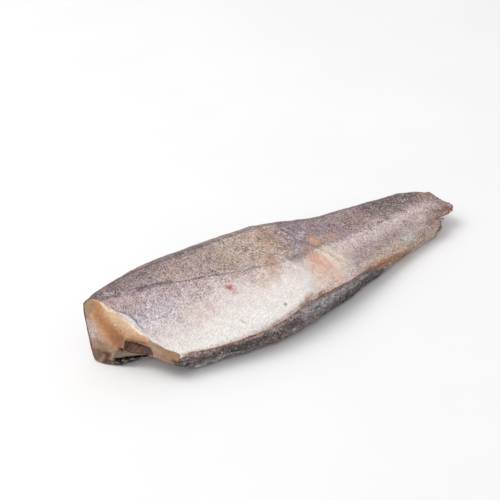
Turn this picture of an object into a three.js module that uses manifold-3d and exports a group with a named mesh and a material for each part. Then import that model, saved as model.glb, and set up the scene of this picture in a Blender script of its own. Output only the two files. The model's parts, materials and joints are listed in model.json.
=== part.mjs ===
// A headless, gutted hake lying on its right flank: one loft of smooth cross-sections, open at the
// head cut into the belly cavity, with a bevelled lower flap, an overhanging upper flap and fin stumps.
// Millimetres. +X runs from the head cut to the tail cut, +Y from the belly to the back, +Z up.
import * as THREE from 'three';
import { mergeVertices } from 'three/addons/utils/BufferGeometryUtils.js';
import Module from 'manifold-3d';

// ---- body ----------------------------------------------------------------------------------------
// One row per station along the fish: x, y of the back, y of the belly, thickness of the lying body.
const STATIONS = [
  [-168, 18, -29, 49.5],
  [-131.5, 31.5, -35.5, 48],
  [-95, 40, -40, 48.5],
  [-49, 43.5, -46, 47],
  [-3.5, 43.5, -39.5, 45],
  [42.5, 43.5, -26, 32.5],
  [88.5, 46, -11, 26],
  [134, 43, -0.5, 20],
  [171, 31.5, -1, 12.5],
];
// Cross-section, from the back over the upper flank to the belly corner (row 8) and under the fish:
// share of the depth (-0.5 belly, 0.5 back), share of the thickness near the head, and of the body.
const SECTION = [
  [0.5, 0.82, 0.67], [0.462, 0.897, 0.866], [0.37, 0.923, 0.988], [0.22, 0.898, 0.983],
  [0.03, 0.798, 0.914], [-0.16, 0.644, 0.829], [-0.33, 0.473, 0.725], [-0.45, 0.337, 0.59],
  [-0.492, 0.283, 0.466], [-0.495, 0.235, 0.323], [-0.47, 0.07, 0.13], [-0.4, -0.01, 0],
  [-0.2, -0.05, -0.05], [0.08, -0.06, -0.06], [0.32, -0.02, -0.02], [0.46, 0.34, 0.24],
];
const HEAD_SHAPE_ENDS = [-131, 6]; // x between which the head section turns into the body section
const REST_BLEND = 1.4; // rounding where the skin leaves the flat it rests on
// Shallow hollows and swellings of the flank: x, row of the section, reach in x and in rows, depth.
const HOLLOWS = [
  [6, 0.6, 24, 1.7, 2.6], // waist behind the first back fin
  [-14, 0.9, 5, 0.8, -1.6], // end of the first back fin
  [38, 4.6, 34, 1.6, 1.2], // long soft dip behind the belly
  [-60, 5, 30, 1.5, 0.9],
  [114, 4.2, 26, 1.2, 0.8], // furrow along the middle of the tail
  [-94, 2.6, 22, 1.2, 0.7],
  [-156, 0.2, 7, 0.9, 1.6], // rounded nape corner
];
const RIPPLE = 0.3; // slow unevenness of the soft skin

// ---- head cut ------------------------------------------------------------------------------------
const HEAD_CUT = { x: -167.5, y: 46.5, perY: 0.586, z: 27.5, perZ: 0.022 }; // oblique plane
// The cut edge leaves the plane a little under the fish: row of the section, x offset.
const HEAD_EDGE = [
  [0, 0], [5, 0], [6, -1.5], [7, -0.5], [8, 0], [11, 1], [12, 3],
  [12.6, 0], [13.2, -4.5], [14, -4], [15, -0.5], [16, 0],
];
const FACE_BULGE = { high: 2.2, span: 26 }; // swelling of the cut flesh where it is this wide
// Lower flap: its underside rises to the upper flap from yStart on and fades away along the fish.
const LOWER_FLAP = { yStart: -3, rise: 0.76, top: 10.4, fadeFrom: -123, fadeTo: -100 };
// Mouth of the belly cavity in the cut, a flat oval: y and z of its ends, half its height at each end.
const MOUTH = { left: -1.4, right: -20, zLeft: 13.6, zRight: 16.4, half: 4.9, halfRight: 2.9, corners: 0.6 };
// Place on the oval for each row of the section, in half turns.
const MOUTH_AT = [1, 1, 1.05, 1.15, 1.4, 1.66, 1.86, 1.93, 1.97, 2.02, 2.07, 2.14, 2.34, 2.62, 2.85, 2.95];
// Cavity behind the mouth: way in, size against the mouth, y and z of its middle.
const CAVITY = [
  [0, 1, -10.7, 15], [6, 1.1, -11.5, 15.3], [16, 1.2, -13, 16], [34, 1.25, -14.5, 17],
  [52, 1.05, -15, 17.5], [66, 0.7, -15, 17.5], [76, 0.3, -15, 17.5],
];
// Crease between the two flaps below the belly corner: x, row of the section.
const CREASE = [[-120, 8.4], [-115, 8.7], [-104, 9.15], [-90, 9.65], [-76, 9.9]];
const CREASE_SIZE = { depth: 2.2, half: 0.16, fade: 12 };

// ---- tail cut ------------------------------------------------------------------------------------
// x of the tail end for each share of the depth, and one split in it.
const TAIL_EDGE = [
  [-0.5, 135], [-0.44, 139], [-0.37, 143.5], [-0.3, 150.5], [-0.2, 154.5],
  [-0.12, 155.5], [0.1, 151], [0.3, 148.5], [0.5, 149],
];
const TAIL_UNDER = 12; // the underside of the tail ends this much earlier
const TAIL_SPLIT = { share: -0.36, depth: 10, wide: 1.6, past: 40 }; // share, depth, mouth, size of the wedge
const TAIL_DISH = 4; // hollow of the tail cut

// ---- fin stumps: ends in x, row of the section at both ends, height, thickness ------------------
const STUMPS = [
  { from: 80, to: 140, row: [1.1, 1.2], high: 2.6, thick: 2 }, // second back fin
  { from: -12, to: 94, row: [8.2, 8.9], high: 1.6, thick: 3 }, // anal fin
];
const STUMP_ROOT = 1.6; // how deep a stump sits in the body
const STUMP_STEP = 4; // length of one step of a stump
const STUMP_TORN = [[0.18, 0.9, 0], [0.12, 2.1, 1]]; // waves of its edge: share of the height, pace, start

// ---- fineness of the mesh ------------------------------------------------------------------------
const AROUND = 60; // columns round the body
const LONG = 66; // steps from the head cut to the tail
const FACE = 4; // steps across the cut flesh
const DEEP = 10; // steps into the cavity
const CROWDED = { row: 8.9, reach: 1.1, gain: 2 }; // columns stand closer at the belly corner
const ENDS_CROWDED = 0.45; // how much closer the steps stand at both ends of the body
const CAVITY_SPREAD = 1.3; // power by which the steps into the cavity grow

// ---- curves --------------------------------------------------------------------------------------
const clamp = (v, a, b) => Math.min(b, Math.max(a, v));
const mix = (a, b, t) => a + (b - a) * t;
const smooth = (a, b, v) => {
  const t = clamp((v - a) / (b - a), 0, 1);
  return t * t * (3 - 2 * t);
};
const bell = (d, reach) => Math.exp(-((d / reach) ** 2));
const rowsApart = (a, b) => a - b - 16 * Math.round((a - b) / 16);

/** Slope of column k of the rows at row i, weighted by the distances to its neighbours. */
function slopeAt(rows, k, i) {
  const n = rows.length - 1;
  const d = (a, b) => (rows[b][k] - rows[a][k]) / (rows[b][0] - rows[a][0]);
  if (i === 0) return d(0, 1);
  if (i === n) return d(n - 1, n);
  const before = rows[i][0] - rows[i - 1][0], after = rows[i + 1][0] - rows[i][0];
  return (d(i - 1, i) * after + d(i, i + 1) * before) / (before + after);
}

/** Smooth curve through column k of rows sorted by their first value. */
function along(rows, k, x) {
  let i = 0;
  while (i < rows.length - 2 && x > rows[i + 1][0]) i += 1;
  const h = rows[i + 1][0] - rows[i][0], t = (x - rows[i][0]) / h;
  const a = slopeAt(rows, k, i) * h, b = slopeAt(rows, k, i + 1) * h;
  return (2 * t ** 3 - 3 * t ** 2 + 1) * rows[i][k] + (t ** 3 - 2 * t ** 2 + t) * a
    + (3 * t ** 2 - 2 * t ** 3) * rows[i + 1][k] + (t ** 3 - t ** 2) * b;
}

/** Closed smooth curve through n values, u counts the values. */
function around(value, n, u) {
  const i = Math.floor(u), f = u - i;
  const [a, b, c, d] = [-1, 0, 1, 2].map((s) => value((((i + s) % n) + n) % n));
  const bend = 2 * a - 5 * b + 4 * c - d, twist = 3 * b - a - 3 * c + d;
  return b + 0.5 * ((c - a) * f + bend * f ** 2 + twist * f ** 3);
}

/** Zero below -c, the value itself above c, and a parabola between. */
function rest(z, c) {
  if (z <= -c) return 0;
  return z >= c ? z : ((z + c) ** 2) / (4 * c);
}

// ---- body surface --------------------------------------------------------------------------------
/** Depth, middle and thickness of the body at x. */
function measures(x) {
  const back = along(STATIONS, 1, x), belly = along(STATIONS, 2, x);
  return { depth: back - belly, middle: (back + belly) / 2, thick: along(STATIONS, 3, x) };
}

/** Underside of the lower flap where it is trimmed near the head cut. */
function flapRise(x, y) {
  const f = LOWER_FLAP;
  const bevel = Math.min(f.top, f.rise * (f.yStart - y));
  return Math.max(0, bevel) * (1 - smooth(f.fadeFrom, f.fadeTo, x));
}

/** Hollow of the skin at x and row u. */
function hollowAt(x, u) {
  const turn = (Math.PI * u) / 8;
  let sum = RIPPLE * (Math.sin(x * 0.071 + 3 * turn) + Math.sin(x * 0.043 - 4 * turn + 2) * Math.sin(2 * turn));
  for (const [cx, cu, rx, ru, deep] of HOLLOWS) sum += deep * bell(x - cx, rx) * bell(rowsApart(u, cu), ru);
  const c = CREASE_SIZE, ends = smooth(CREASE[0][0] - c.fade, CREASE[0][0], x)
    * (1 - smooth(CREASE[4][0], CREASE[4][0] + c.fade, x));
  if (ends > 0) sum += c.depth * ends * bell(u - along(CREASE, 1, clamp(x, CREASE[0][0], CREASE[4][0])), c.half);
  return sum;
}

/** y and z of the cross-section at x, row u. */
function section(x, u) {
  const { depth, middle, thick } = measures(x);
  const w = smooth(HEAD_SHAPE_ENDS[0], HEAD_SHAPE_ENDS[1], x);
  const share = around((i) => SECTION[i][0], 16, u);
  const high = mix(around((i) => SECTION[i][1], 16, u), around((i) => SECTION[i][2], 16, u), w);
  let y = middle + depth * share, z = Math.max(rest(thick * high, REST_BLEND), flapRise(x, y));
  const toY = middle - y, toZ = thick / 2 - z, far = Math.hypot(toY, toZ);
  const deep = hollowAt(x, u) * smooth(0, 6, z);
  y += (toY / far) * deep;
  z += (toZ / far) * deep;
  return [y, z];
}

/** x of the head cut plane at y and z. */
const headPlane = (y, z) => HEAD_CUT.x + HEAD_CUT.perY * (HEAD_CUT.y - y) + HEAD_CUT.perZ * (z - HEAD_CUT.z);

/** x of the tail end at y and z for the section at x. */
function tailEnd(x, y, z) {
  const { depth, middle, thick } = measures(x);
  return along(TAIL_EDGE, 1, clamp((y - middle) / depth, -0.5, 0.5)) - TAIL_UNDER * (1 - z / thick);
}

/** Point of the skin: s runs from the head cut to the tail, u round the body. */
function skin(s, u) {
  let x = mix(STATIONS[1][0], STATIONS[7][0], s), y = 0, z = 0;
  for (let k = 0; k < 10; k += 1) {
    [y, z] = section(x, u);
    x = mix(headPlane(y, z) + along(HEAD_EDGE, 1, u), tailEnd(x, y, z), s);
  }
  return [x, y, z];
}

// ---- head cut and cavity -------------------------------------------------------------------------
/** Edge of the cavity mouth for row u: a flat oval in the cut. */
function mouth(u) {
  const m = MOUTH, a = around((i) => MOUTH_AT[i] - i / 8, 16, u) + u / 8;
  const across = Math.cos(Math.PI * a), up = Math.sin(Math.PI * a);
  const t = (1 + Math.sign(across) * Math.abs(across) ** m.corners) / 2;
  const half = mix(m.half, m.halfRight, t) * Math.sign(up) * Math.abs(up) ** m.corners;
  return [mix(m.left, m.right, t), mix(m.zLeft, m.zRight, t) - half];
}

/** Point of the cut flesh: r is 0 at the skin and 1 at the cavity mouth. */
function face(r, u) {
  const [, y0, z0] = skin(0, u), [y1, z1] = mouth(u);
  const y = mix(y0, y1, r), z = mix(z0, z1, r);
  const span = clamp(Math.hypot(y1 - y0, z1 - z0) / FACE_BULGE.span, 0, 1);
  const edge = along(HEAD_EDGE, 1, u) * (1 - r);
  return [headPlane(y, z) + edge - FACE_BULGE.high * 4 * r * (1 - r) * span, y, z];
}

/** Point of the cavity wall, a way in from the mouth. */
function cavity(way, u) {
  const [y, z] = mouth(u), k = along(CAVITY, 1, way);
  const cy = along(CAVITY, 2, way), cz = along(CAVITY, 3, way);
  return [headPlane(y, z) + way, cy + (y - CAVITY[0][2]) * k, cz + (z - CAVITY[0][3]) * k];
}

// ---- meshes --------------------------------------------------------------------------------------
/** Rows of the section for the columns, crowded near the belly corner. */
function columns() {
  const steps = 1600, sum = [0];
  for (let i = 0; i < steps; i += 1) {
    const u = (16 * (i + 0.5)) / steps;
    sum.push(sum[i] + 1 + CROWDED.gain * bell(u - CROWDED.row, CROWDED.reach));
  }
  const out = [];
  for (let j = 0, i = 0; j < AROUND; j += 1) {
    const want = (sum[steps] * j) / AROUND;
    while (sum[i + 1] < want) i += 1;
    out.push((16 * (i + (want - sum[i]) / (sum[i + 1] - sum[i]))) / steps);
  }
  return out;
}

/** Triangles of rings of equal length, closed by a point before the first and after the last ring. */
function closedRings(rings, first, last) {
  const n = rings[0].length, points = [first, ...rings.flat(), last], tri = [];
  const at = (i, j) => 1 + i * n + (j % n), end = points.length - 1;
  for (let j = 0; j < n; j += 1) {
    tri.push(0, at(0, j), at(0, j + 1));
    tri.push(end, at(rings.length - 1, j + 1), at(rings.length - 1, j));
    for (let i = 0; i < rings.length - 1; i += 1) {
      tri.push(at(i, j), at(i + 1, j), at(i + 1, j + 1), at(i, j), at(i + 1, j + 1), at(i, j + 1));
    }
  }
  return { points, tri };
}

/** A manifold of rings, turned outward when its volume is negative. */
function solid(wasm, { points, tri }) {
  const volume = (t) => {
    let v = 0;
    for (let i = 0; i < t.length; i += 3) {
      const [a, b, c] = [points[t[i]], points[t[i + 1]], points[t[i + 2]]];
      v += a[0] * (b[1] * c[2] - b[2] * c[1]) + a[1] * (b[2] * c[0] - b[0] * c[2]);
      v += a[2] * (b[0] * c[1] - b[1] * c[0]);
    }
    return v / 6;
  };
  const turned = (t) => t.map((_, i) => t[i + 2 - 2 * (i % 3)]);
  const triVerts = new Uint32Array(volume(tri) > 0 ? tri : turned(tri));
  const vertProperties = new Float32Array(points.flat());
  return new wasm.Manifold(new wasm.Mesh({ numProp: 3, vertProperties, triVerts }));
}

const mean = (ring) => [0, 1, 2].map((k) => ring.reduce((s, p) => s + p[k], 0) / ring.length);

/** The whole fish as rings: tail end, skin, cut flesh, cavity. */
function fish(wasm) {
  const us = columns(), rings = [];
  for (let i = 0; i <= LONG; i += 1) {
    const t = i / LONG, s = 1 - mix(t, smooth(0, 1, t), ENDS_CROWDED);
    rings.push(us.map((u) => skin(s, u)));
  }
  for (let i = 1; i <= FACE; i += 1) rings.push(us.map((u) => face(i / FACE, u)));
  const deepest = CAVITY[CAVITY.length - 1][0];
  for (let i = 1; i <= DEEP; i += 1) rings.push(us.map((u) => cavity(deepest * (i / DEEP) ** CAVITY_SPREAD, u)));
  const tail = mean(rings[0]), end = mean(rings[rings.length - 1]);
  tail[0] -= TAIL_DISH;
  end[0] += 3;
  return solid(wasm, closedRings(rings, tail, end));
}

/** A ridge that follows the skin: a low wall with an uneven edge, sunk a little into the body. */
function stump(wasm, { from, to, row, high, thick }) {
  const steps = Math.round((to - from) / STUMP_STEP), rings = [];
  for (let i = 0; i <= steps; i += 1) {
    const t = i / steps, x = mix(from, to, t), u = mix(row[0], row[1], t), e = 0.05;
    const p = section(x, u), a = section(x, u - e), b = section(x, u + e);
    const l = Math.hypot(b[0] - a[0], b[1] - a[1]), ty = (b[0] - a[0]) / l, tz = (b[1] - a[1]) / l;
    const ends = Math.min(1, 0.25 + 4 * Math.min(t, 1 - t));
    const torn = STUMP_TORN.reduce((sum, [part, pace, start]) => sum + part * Math.sin(x * pace + start), 1);
    const h = high * ends * torn, root = -STUMP_ROOT;
    const at = (side, out) => [x, p[0] + ty * side - tz * out, p[1] + tz * side + ty * out];
    rings.push([at(-thick / 2, root), at(thick / 2, root), at(thick * 0.3, h), at(-thick * 0.3, h)]);
  }
  return solid(wasm, closedRings(rings, mean(rings[0]), mean(rings[steps])));
}

/** The narrow split of the tail end as a wedge to take away. */
function split(wasm) {
  const t = TAIL_SPLIT, tip = along(TAIL_EDGE, 1, t.share) - t.depth, far = tip + t.past;
  const { depth, middle } = measures(tip), y = middle + depth * t.share;
  const open = (t.wide / 2) * (t.past / t.depth);
  const rings = [-t.past, t.past].map((z) => [[tip, y, z], [far, y - open, z], [far, y + open, z]]);
  return solid(wasm, closedRings(rings, mean(rings[0]), mean(rings[1])));
}

/** Geometry of a manifold. */
function geometry(manifold) {
  const mesh = manifold.getMesh(), g = new THREE.BufferGeometry();
  g.setAttribute('position', new THREE.BufferAttribute(new Float32Array(mesh.vertProperties), 3));
  g.setIndex(new THREE.BufferAttribute(new Uint32Array(mesh.triVerts), 1));
  g.computeBoundingBox();
  const { min, max } = g.boundingBox; // the origin is the middle of the box, at its bottom
  g.translate(-(min.x + max.x) / 2, -(min.y + max.y) / 2, -min.z);
  return mergeVertices(g, 1e-4);
}

const wasm = await Module();
wasm.setup();
let body = fish(wasm);
for (const s of STUMPS) body = body.add(stump(wasm, s));
body = body.subtract(split(wasm));

const skinLook = new THREE.MeshStandardMaterial({ color: 0xb3a5a0, roughness: 0.55, metalness: 0 });
const mesh = new THREE.Mesh(geometry(body), skinLook);
mesh.name = 'headless_hake';
const group = new THREE.Group();
group.name = 'headless_hake_part';
group.add(mesh);
export default group;
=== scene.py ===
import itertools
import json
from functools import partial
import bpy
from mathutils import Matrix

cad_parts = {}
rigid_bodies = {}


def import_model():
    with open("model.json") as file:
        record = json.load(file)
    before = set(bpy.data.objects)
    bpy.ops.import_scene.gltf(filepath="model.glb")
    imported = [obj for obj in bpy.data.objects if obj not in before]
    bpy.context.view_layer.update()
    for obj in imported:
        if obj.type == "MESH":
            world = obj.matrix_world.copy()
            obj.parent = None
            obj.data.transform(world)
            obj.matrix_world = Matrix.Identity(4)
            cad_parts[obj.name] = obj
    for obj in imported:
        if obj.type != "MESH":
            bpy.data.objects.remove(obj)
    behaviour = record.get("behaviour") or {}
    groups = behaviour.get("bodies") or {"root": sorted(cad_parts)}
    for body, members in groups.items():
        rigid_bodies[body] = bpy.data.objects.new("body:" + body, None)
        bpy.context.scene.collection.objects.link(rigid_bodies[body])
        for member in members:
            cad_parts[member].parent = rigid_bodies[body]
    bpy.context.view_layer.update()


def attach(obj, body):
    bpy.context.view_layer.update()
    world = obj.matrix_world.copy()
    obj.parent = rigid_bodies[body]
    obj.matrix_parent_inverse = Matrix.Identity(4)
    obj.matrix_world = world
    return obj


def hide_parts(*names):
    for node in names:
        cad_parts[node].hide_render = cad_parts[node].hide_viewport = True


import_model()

# %% [markdown]
# # A headless hake
#
# The object is one raw fish without its head: gutted, cut obliquely behind the head, trimmed at
# the tail, and laid on its side. Three things make it look like fish and not like clay: a thin
# speckled skin that ends in a torn pale rim, wet tan flesh where the knife went through, and a dark
# hollow where the belly was emptied. So it is built as a block of flesh with a separate coat of skin
# over it, and each is a surface worked out with numpy from the same few named sizes.
#
# Sizes are in millimetres, +X from the head cut to the tail, +Y from belly to back, +Z up.

# %% Steps, blends and bells
from types import SimpleNamespace

import bpy
import numpy as np
from mathutils import Matrix, Vector

MM = 0.001  # metres in a millimetre


def smooth(a, b, v):
    """Smooth step: 0 up to a, 1 from b, and 3t^2 - 2t^3 of the share t between; with b below a it
    falls."""
    t = np.clip((v - a) / (b - a), 0, 1)
    return t * t * (3 - 2 * t)


def band(a, b, c, d, v):
    """1 between b and c, 0 outside a and d, smooth steps between them."""
    return smooth(a, b, v) * smooth(d, c, v)


def mix(a, b, t):
    """Straight blend from a to b."""
    return a + (b - a) * t


def bell(distance, reach):
    """Bell curve: e to the minus square of distance over reach."""
    return np.exp(-((distance / reach) ** 2))


# %% Smooth curves through rows of numbers
def along(rows, k, x):
    """Smooth curve through column k of rows sorted by their first value: on each interval the cubic
    that meets both values, with slopes that are distance-weighted means of the chords beside them."""
    rows = np.asarray(rows, float)
    at, value = rows[:, 0], rows[:, k]
    gap = np.diff(at)
    chord = np.diff(value) / gap
    slope = np.empty(len(at))
    slope[0], slope[-1] = chord[0], chord[-1]
    slope[1:-1] = (chord[:-1] * gap[1:] + chord[1:] * gap[:-1]) / (gap[1:] + gap[:-1])
    i = np.clip(np.searchsorted(at, x, side="left") - 1, 0, len(at) - 2)
    h = gap[i]
    t = (x - at[i]) / h
    return ((2 * t**3 - 3 * t**2 + 1) * value[i] + (t**3 - 2 * t**2 + t) * slope[i] * h
            + (3 * t**2 - 2 * t**3) * value[i + 1] + (t**3 - t**2) * slope[i + 1] * h)


def held(rows, k, x):
    """The same curve, kept at its end values outside the rows."""
    return along(rows, k, np.clip(x, rows[0][0], rows[-1][0]))


def around(values, u):
    """Closed smooth curve through the values: the cubic of the four neighbours of each interval."""
    values = np.asarray(values, float)
    n = len(values)
    i = np.floor(u).astype(int)
    f = u - i
    a, b, c, d = [values[(i + k) % n] for k in (-1, 0, 1, 2)]
    bend, twist = 2 * a - 5 * b + 4 * c - d, 3 * b - a - 3 * c + d
    return b + 0.5 * ((c - a) * f + bend * f**2 + twist * f**3)


print("curve through 0, 1, 4 at 1.5:", round(float(along([[0, 0], [1, 1], [2, 4]], 1, 1.5)), 3))

# %% [markdown]
# ## Unevenness
#
# Nothing on a fish is smooth like turned metal. Small lumps could come from a texture on a
# Displace modifier, but a formula in numpy gives the same lumps each run and can be asked for
# anywhere, also by the colours. The noise here blends random values of the corners of a cubic
# lattice, and rough() adds finer and weaker copies of it.

# %% Noise
def corner_value(corner, seed):
    """Random number in -1..1 for whole-number corners: the cut-off part of a large sine."""
    s = np.sin(corner @ np.array([12.9898, 78.233, 37.719]) + seed * 4.1414) * 43758.5453
    return 2 * (s - np.floor(s)) - 1


def noise(p, size, seed):
    """Smooth noise in -1..1 at points p: corner values of cubes of this size, blended by the smooth
    step of the place between them."""
    q = p / size
    whole = np.floor(q)
    f = q - whole
    f = f * f * (3 - 2 * f)
    total = np.zeros(p.shape[:-1])
    for corner in itertools.product((0, 1), repeat=3):
        share = np.prod(np.where(np.array(corner) == 1, f, 1 - f), axis=-1)
        total += share * corner_value(whole + np.array(corner), seed)
    return total


def rough(p, size, seed):
    """Sum of three noises, each half the size and half the height of the one before."""
    return sum(noise(p, size / 2**k, seed + k) / 2**k for k in range(3))


print("noise ready, spread at 1000 places:",
      round(float(noise(np.random.default_rng(1).random((1000, 3)) * 90, 7, 1).std()), 3))

# %% [markdown]
# ## The body as one loft
#
# The fish is a row of cross-sections. Each has 16 rows of points: row 0 is the back, rows 1 to 7
# cross the upper flank, row 8 is the belly corner, and rows 10 to 15 run under the fish, where it
# lies flat. The section near the head is heavy and slumped, and turns into a slimmer one behind the
# belly. A box pushed about with sculpt brushes could look right from one side, but named sections
# keep the fish exactly as long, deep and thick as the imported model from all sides.

# %% Sizes of the body
STATIONS = [  # x, y of the back, y of the belly, thickness of the lying fish
    [-168, 18, -29, 49.5], [-131.5, 31.5, -35.5, 48], [-95, 40, -40, 48.5],
    [-49, 43.5, -46, 47], [-3.5, 43.5, -39.5, 45], [42.5, 43.5, -26, 32.5],
    [88.5, 46, -11, 26], [134, 43, -0.5, 20], [171, 31.5, -1, 12.5],
]
SECTION = np.array([  # share of the depth, share of the thickness near the head, and of the body
    [0.5, 0.82, 0.67], [0.462, 0.897, 0.866], [0.37, 0.923, 0.988], [0.22, 0.898, 0.983],
    [0.03, 0.798, 0.914], [-0.16, 0.644, 0.829], [-0.33, 0.473, 0.725], [-0.45, 0.337, 0.59],
    [-0.492, 0.283, 0.466], [-0.495, 0.235, 0.323], [-0.47, 0.07, 0.13], [-0.4, -0.01, 0],
    [-0.2, -0.05, -0.05], [0.08, -0.06, -0.06], [0.32, -0.02, -0.02], [0.46, 0.34, 0.24],
])
HEAD_SHAPE_ENDS = (-131, 6)  # x between which the head section turns into the body section
REST_BLEND = 1.4             # rounding where the skin leaves the floor
HOLLOWS = [                  # shallow hollows: x, row, reach in x and in rows, depth
    [6, 0.6, 24, 1.7, 2.6], [-14, 0.9, 5, 0.8, -1.6], [38, 4.6, 34, 1.6, 1.2],
    [-60, 5, 30, 1.5, 0.9], [114, 4.2, 26, 1.2, 0.8], [-94, 2.6, 22, 1.2, 0.7],
    [-156, 0.2, 7, 0.9, 1.6],
]
RIPPLE = 0.3                 # height of the slow waves of the flank
# the flap of belly wall next to the floor: y where it starts, slope, height, x where it fades
LOWER_FLAP = dict(start=-3, rise=0.76, top=10.4, fade=(-123, -100))
CREASE = [[-120, 8.4], [-115, 8.7], [-104, 9.15], [-90, 9.65], [-76, 9.9]]  # between the flaps: x, row
CREASE_DEPTH, CREASE_HALF, CREASE_FADE = 2.2, 0.16, 12
CENTRING = np.array([-0.213, -0.117, 0.0])  # moves the middle of the box to the origin
print("stations:", len(STATIONS), " points of a section:", len(SECTION))


# %% Sections of the body
def measures(x):
    """Depth, middle and thickness of the body at x, from the smooth curves of the stations."""
    back, belly = along(STATIONS, 1, x), along(STATIONS, 2, x)
    return back - belly, (back + belly) / 2, along(STATIONS, 3, x)


def settle(z):
    """Height of skin that rests: 0 below the blend, z above it, a parabola between."""
    return np.where(z <= -REST_BLEND, 0,
                    np.where(z >= REST_BLEND, z, (z + REST_BLEND) ** 2 / (4 * REST_BLEND)))


def flap_rise(x, y):
    """Bevel under the lower flap: rises towards the belly at a fixed slope, up to its top, and
    fades out along the fish."""
    lift = np.minimum(LOWER_FLAP["top"], LOWER_FLAP["rise"] * (LOWER_FLAP["start"] - y))
    return np.maximum(0, lift) * (1 - smooth(*LOWER_FLAP["fade"], x))


def hollow(x, u):
    """Depth of the hollows at x and row u: two slow waves, bells for the named hollows, and a narrow
    bell along the crease of the flaps."""
    turn = np.pi * u / 8
    waves = np.sin(x * 0.071 + 3 * turn) + np.sin(x * 0.043 - 4 * turn + 2) * np.sin(2 * turn)
    total = RIPPLE * waves
    for at, row, reach, rows, deep in HOLLOWS:
        apart = u - row - 16 * np.round((u - row) / 16)
        total = total + deep * bell(x - at, reach) * bell(apart, rows)
    first, last = CREASE[0][0], CREASE[-1][0]
    ends = band(first - CREASE_FADE, first, last, last + CREASE_FADE, x)
    return total + CREASE_DEPTH * ends * bell(u - held(CREASE, 1, x), CREASE_HALF)


def section(x, u):
    """y and z of the cross-section at x, row u: shares of depth and thickness, settled on the floor,
    then moved towards the middle by the hollow."""
    depth, middle, thick = measures(x)
    w = smooth(*HEAD_SHAPE_ENDS, x)
    high = mix(around(SECTION[:, 1], u), around(SECTION[:, 2], u), w)
    y = middle + depth * around(SECTION[:, 0], u)
    z = np.maximum(settle(thick * high), flap_rise(x, y))
    in_y, in_z = middle - y, thick / 2 - z
    far = np.hypot(in_y, in_z)
    deep = hollow(x, u) * smooth(0, 6, z)
    return y + in_y / far * deep, z + in_z / far * deep


print("depth at the belly:", round(float(measures(-49.0)[0]), 1), "mm")

# %% [markdown]
# ## Where the knife went
#
# The head cut is an oblique plane, drawn in a little under the fish. The tail end isn't straight:
# trimmed fin rays leave a blunt point, a notch and ragged teeth. Both ends are given as x for each
# place of the section, and the skin is stretched between them by its share s, so the rows stay
# smooth and the ragged edge needs no cutting tool.

# %% Ends of the body
HEAD_CUT = dict(x=-167.5, y=46.5, per_y=0.586, z=27.5, per_z=0.022)
HEAD_EDGE = [  # row, x offset of the cut edge
    [-4, 3], [-3.6, 0.5], [-3.2, -4.5], [-2.8, -7], [-2.2, -6.8], [-1.7, -4.2], [-1.2, -2.1],
    [-0.7, -1.8], [-0.2, -3.2], [0.5, -3.4], [1.2, -2.2], [1.8, -0.7], [2.4, 0], [5, 0], [6, -1.5],
    [7, -0.5], [8, 0], [11, 1], [12, 3],
]
TAIL_EDGE = [[-0.5, 135], [-0.44, 139], [-0.37, 143.5], [-0.3, 150.5], [-0.2, 154.5],
             [-0.12, 155.5], [0.1, 151], [0.3, 148.5], [0.5, 149]]  # share of the depth, x
TAIL_UNDER = 12              # the underside ends this much earlier
TAIL_NOTCH = dict(share=-0.36, reach=0.017, deep=10)
TAIL_TEETH = 1.3             # height of the ragged teeth of the fin rays
FIRST, LAST = STATIONS[1][0], STATIONS[7][0]  # x of the two ends before their edges shape them
SPAN = LAST - FIRST
REPEATS = 10                 # rounds in which x and the ends settle


def head_plane(y, z):
    """x of the head cut: a plane through one point with a slope in y and in z."""
    return (HEAD_CUT["x"] + HEAD_CUT["per_y"] * (HEAD_CUT["y"] - y)
            + HEAD_CUT["per_z"] * (z - HEAD_CUT["z"]))


def tail_end(x, y, z):
    """x of the tail end: the edge curve over the share of the depth, less the lean of the underside,
    a narrow bell for the notch, and teeth of two beating waves."""
    depth, middle, thick = measures(x)
    share = np.clip((y - middle) / depth, -0.5, 0.5)
    teeth = np.sin(share * 64) * np.sin(share * 151 + 1) + 0.5 * np.sin(share * 263)
    notch = TAIL_NOTCH["deep"] * bell(share - TAIL_NOTCH["share"], TAIL_NOTCH["reach"])
    lean = TAIL_UNDER * (1 - z / thick)
    return held(TAIL_EDGE, 1, share) - lean - notch - TAIL_TEETH * (0.5 + 0.5 * teeth)


def flank(s, u, back_off=0.0):
    """Point of the body's surface: s runs from the head cut to the tail and u round the body. x is
    the blend of both ends, found by repeating, because the ends depend on y and z. back_off draws
    the head edge back along the fish."""
    x = mix(FIRST, LAST, s) + 0 * u
    for _ in range(REPEATS):
        y, z = section(x, u)
        x = mix(head_plane(y, z) + held(HEAD_EDGE, 1, u) + back_off, tail_end(x, y, z), s)
    return np.stack([x, y, z], -1)


# %% [markdown]
# ## Grids, normals and meshes
#
# Each piece is a grid of points with two parameters. Its faces are quads between neighbours, it is
# closed round the body, and its two ends are closed by a pole or joined to each other. Every corner
# also gets a UV in tenths of a metre along and round the body, so patterns such as scales keep their
# real size wherever the skin bends.

# %% Normals and girth of a grid
def outward(points):
    """Unit normals of a grid that is closed round: the cross product of the step round the body and
    the step along it, divided by its length."""
    step_round = np.roll(points, -1, 1) - np.roll(points, 1, 1)
    step_long = np.gradient(points, axis=0)
    n = np.cross(step_round, step_long)
    return n / np.maximum(np.linalg.norm(n, axis=-1, keepdims=True), 1e-9)


def girth(points):
    """Distance round the body from the first column, one column longer than the grid."""
    closed = np.concatenate([points, points[:, :1]], 1)
    step = np.linalg.norm(np.diff(closed, axis=1), axis=-1)
    return np.concatenate([np.zeros((len(points), 1)), np.cumsum(step, 1)], 1)


print("girth of a unit square:", girth(np.array([[(0, 0), (1, 0), (1, 1), (0, 1)]]))[0, -1])


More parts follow.
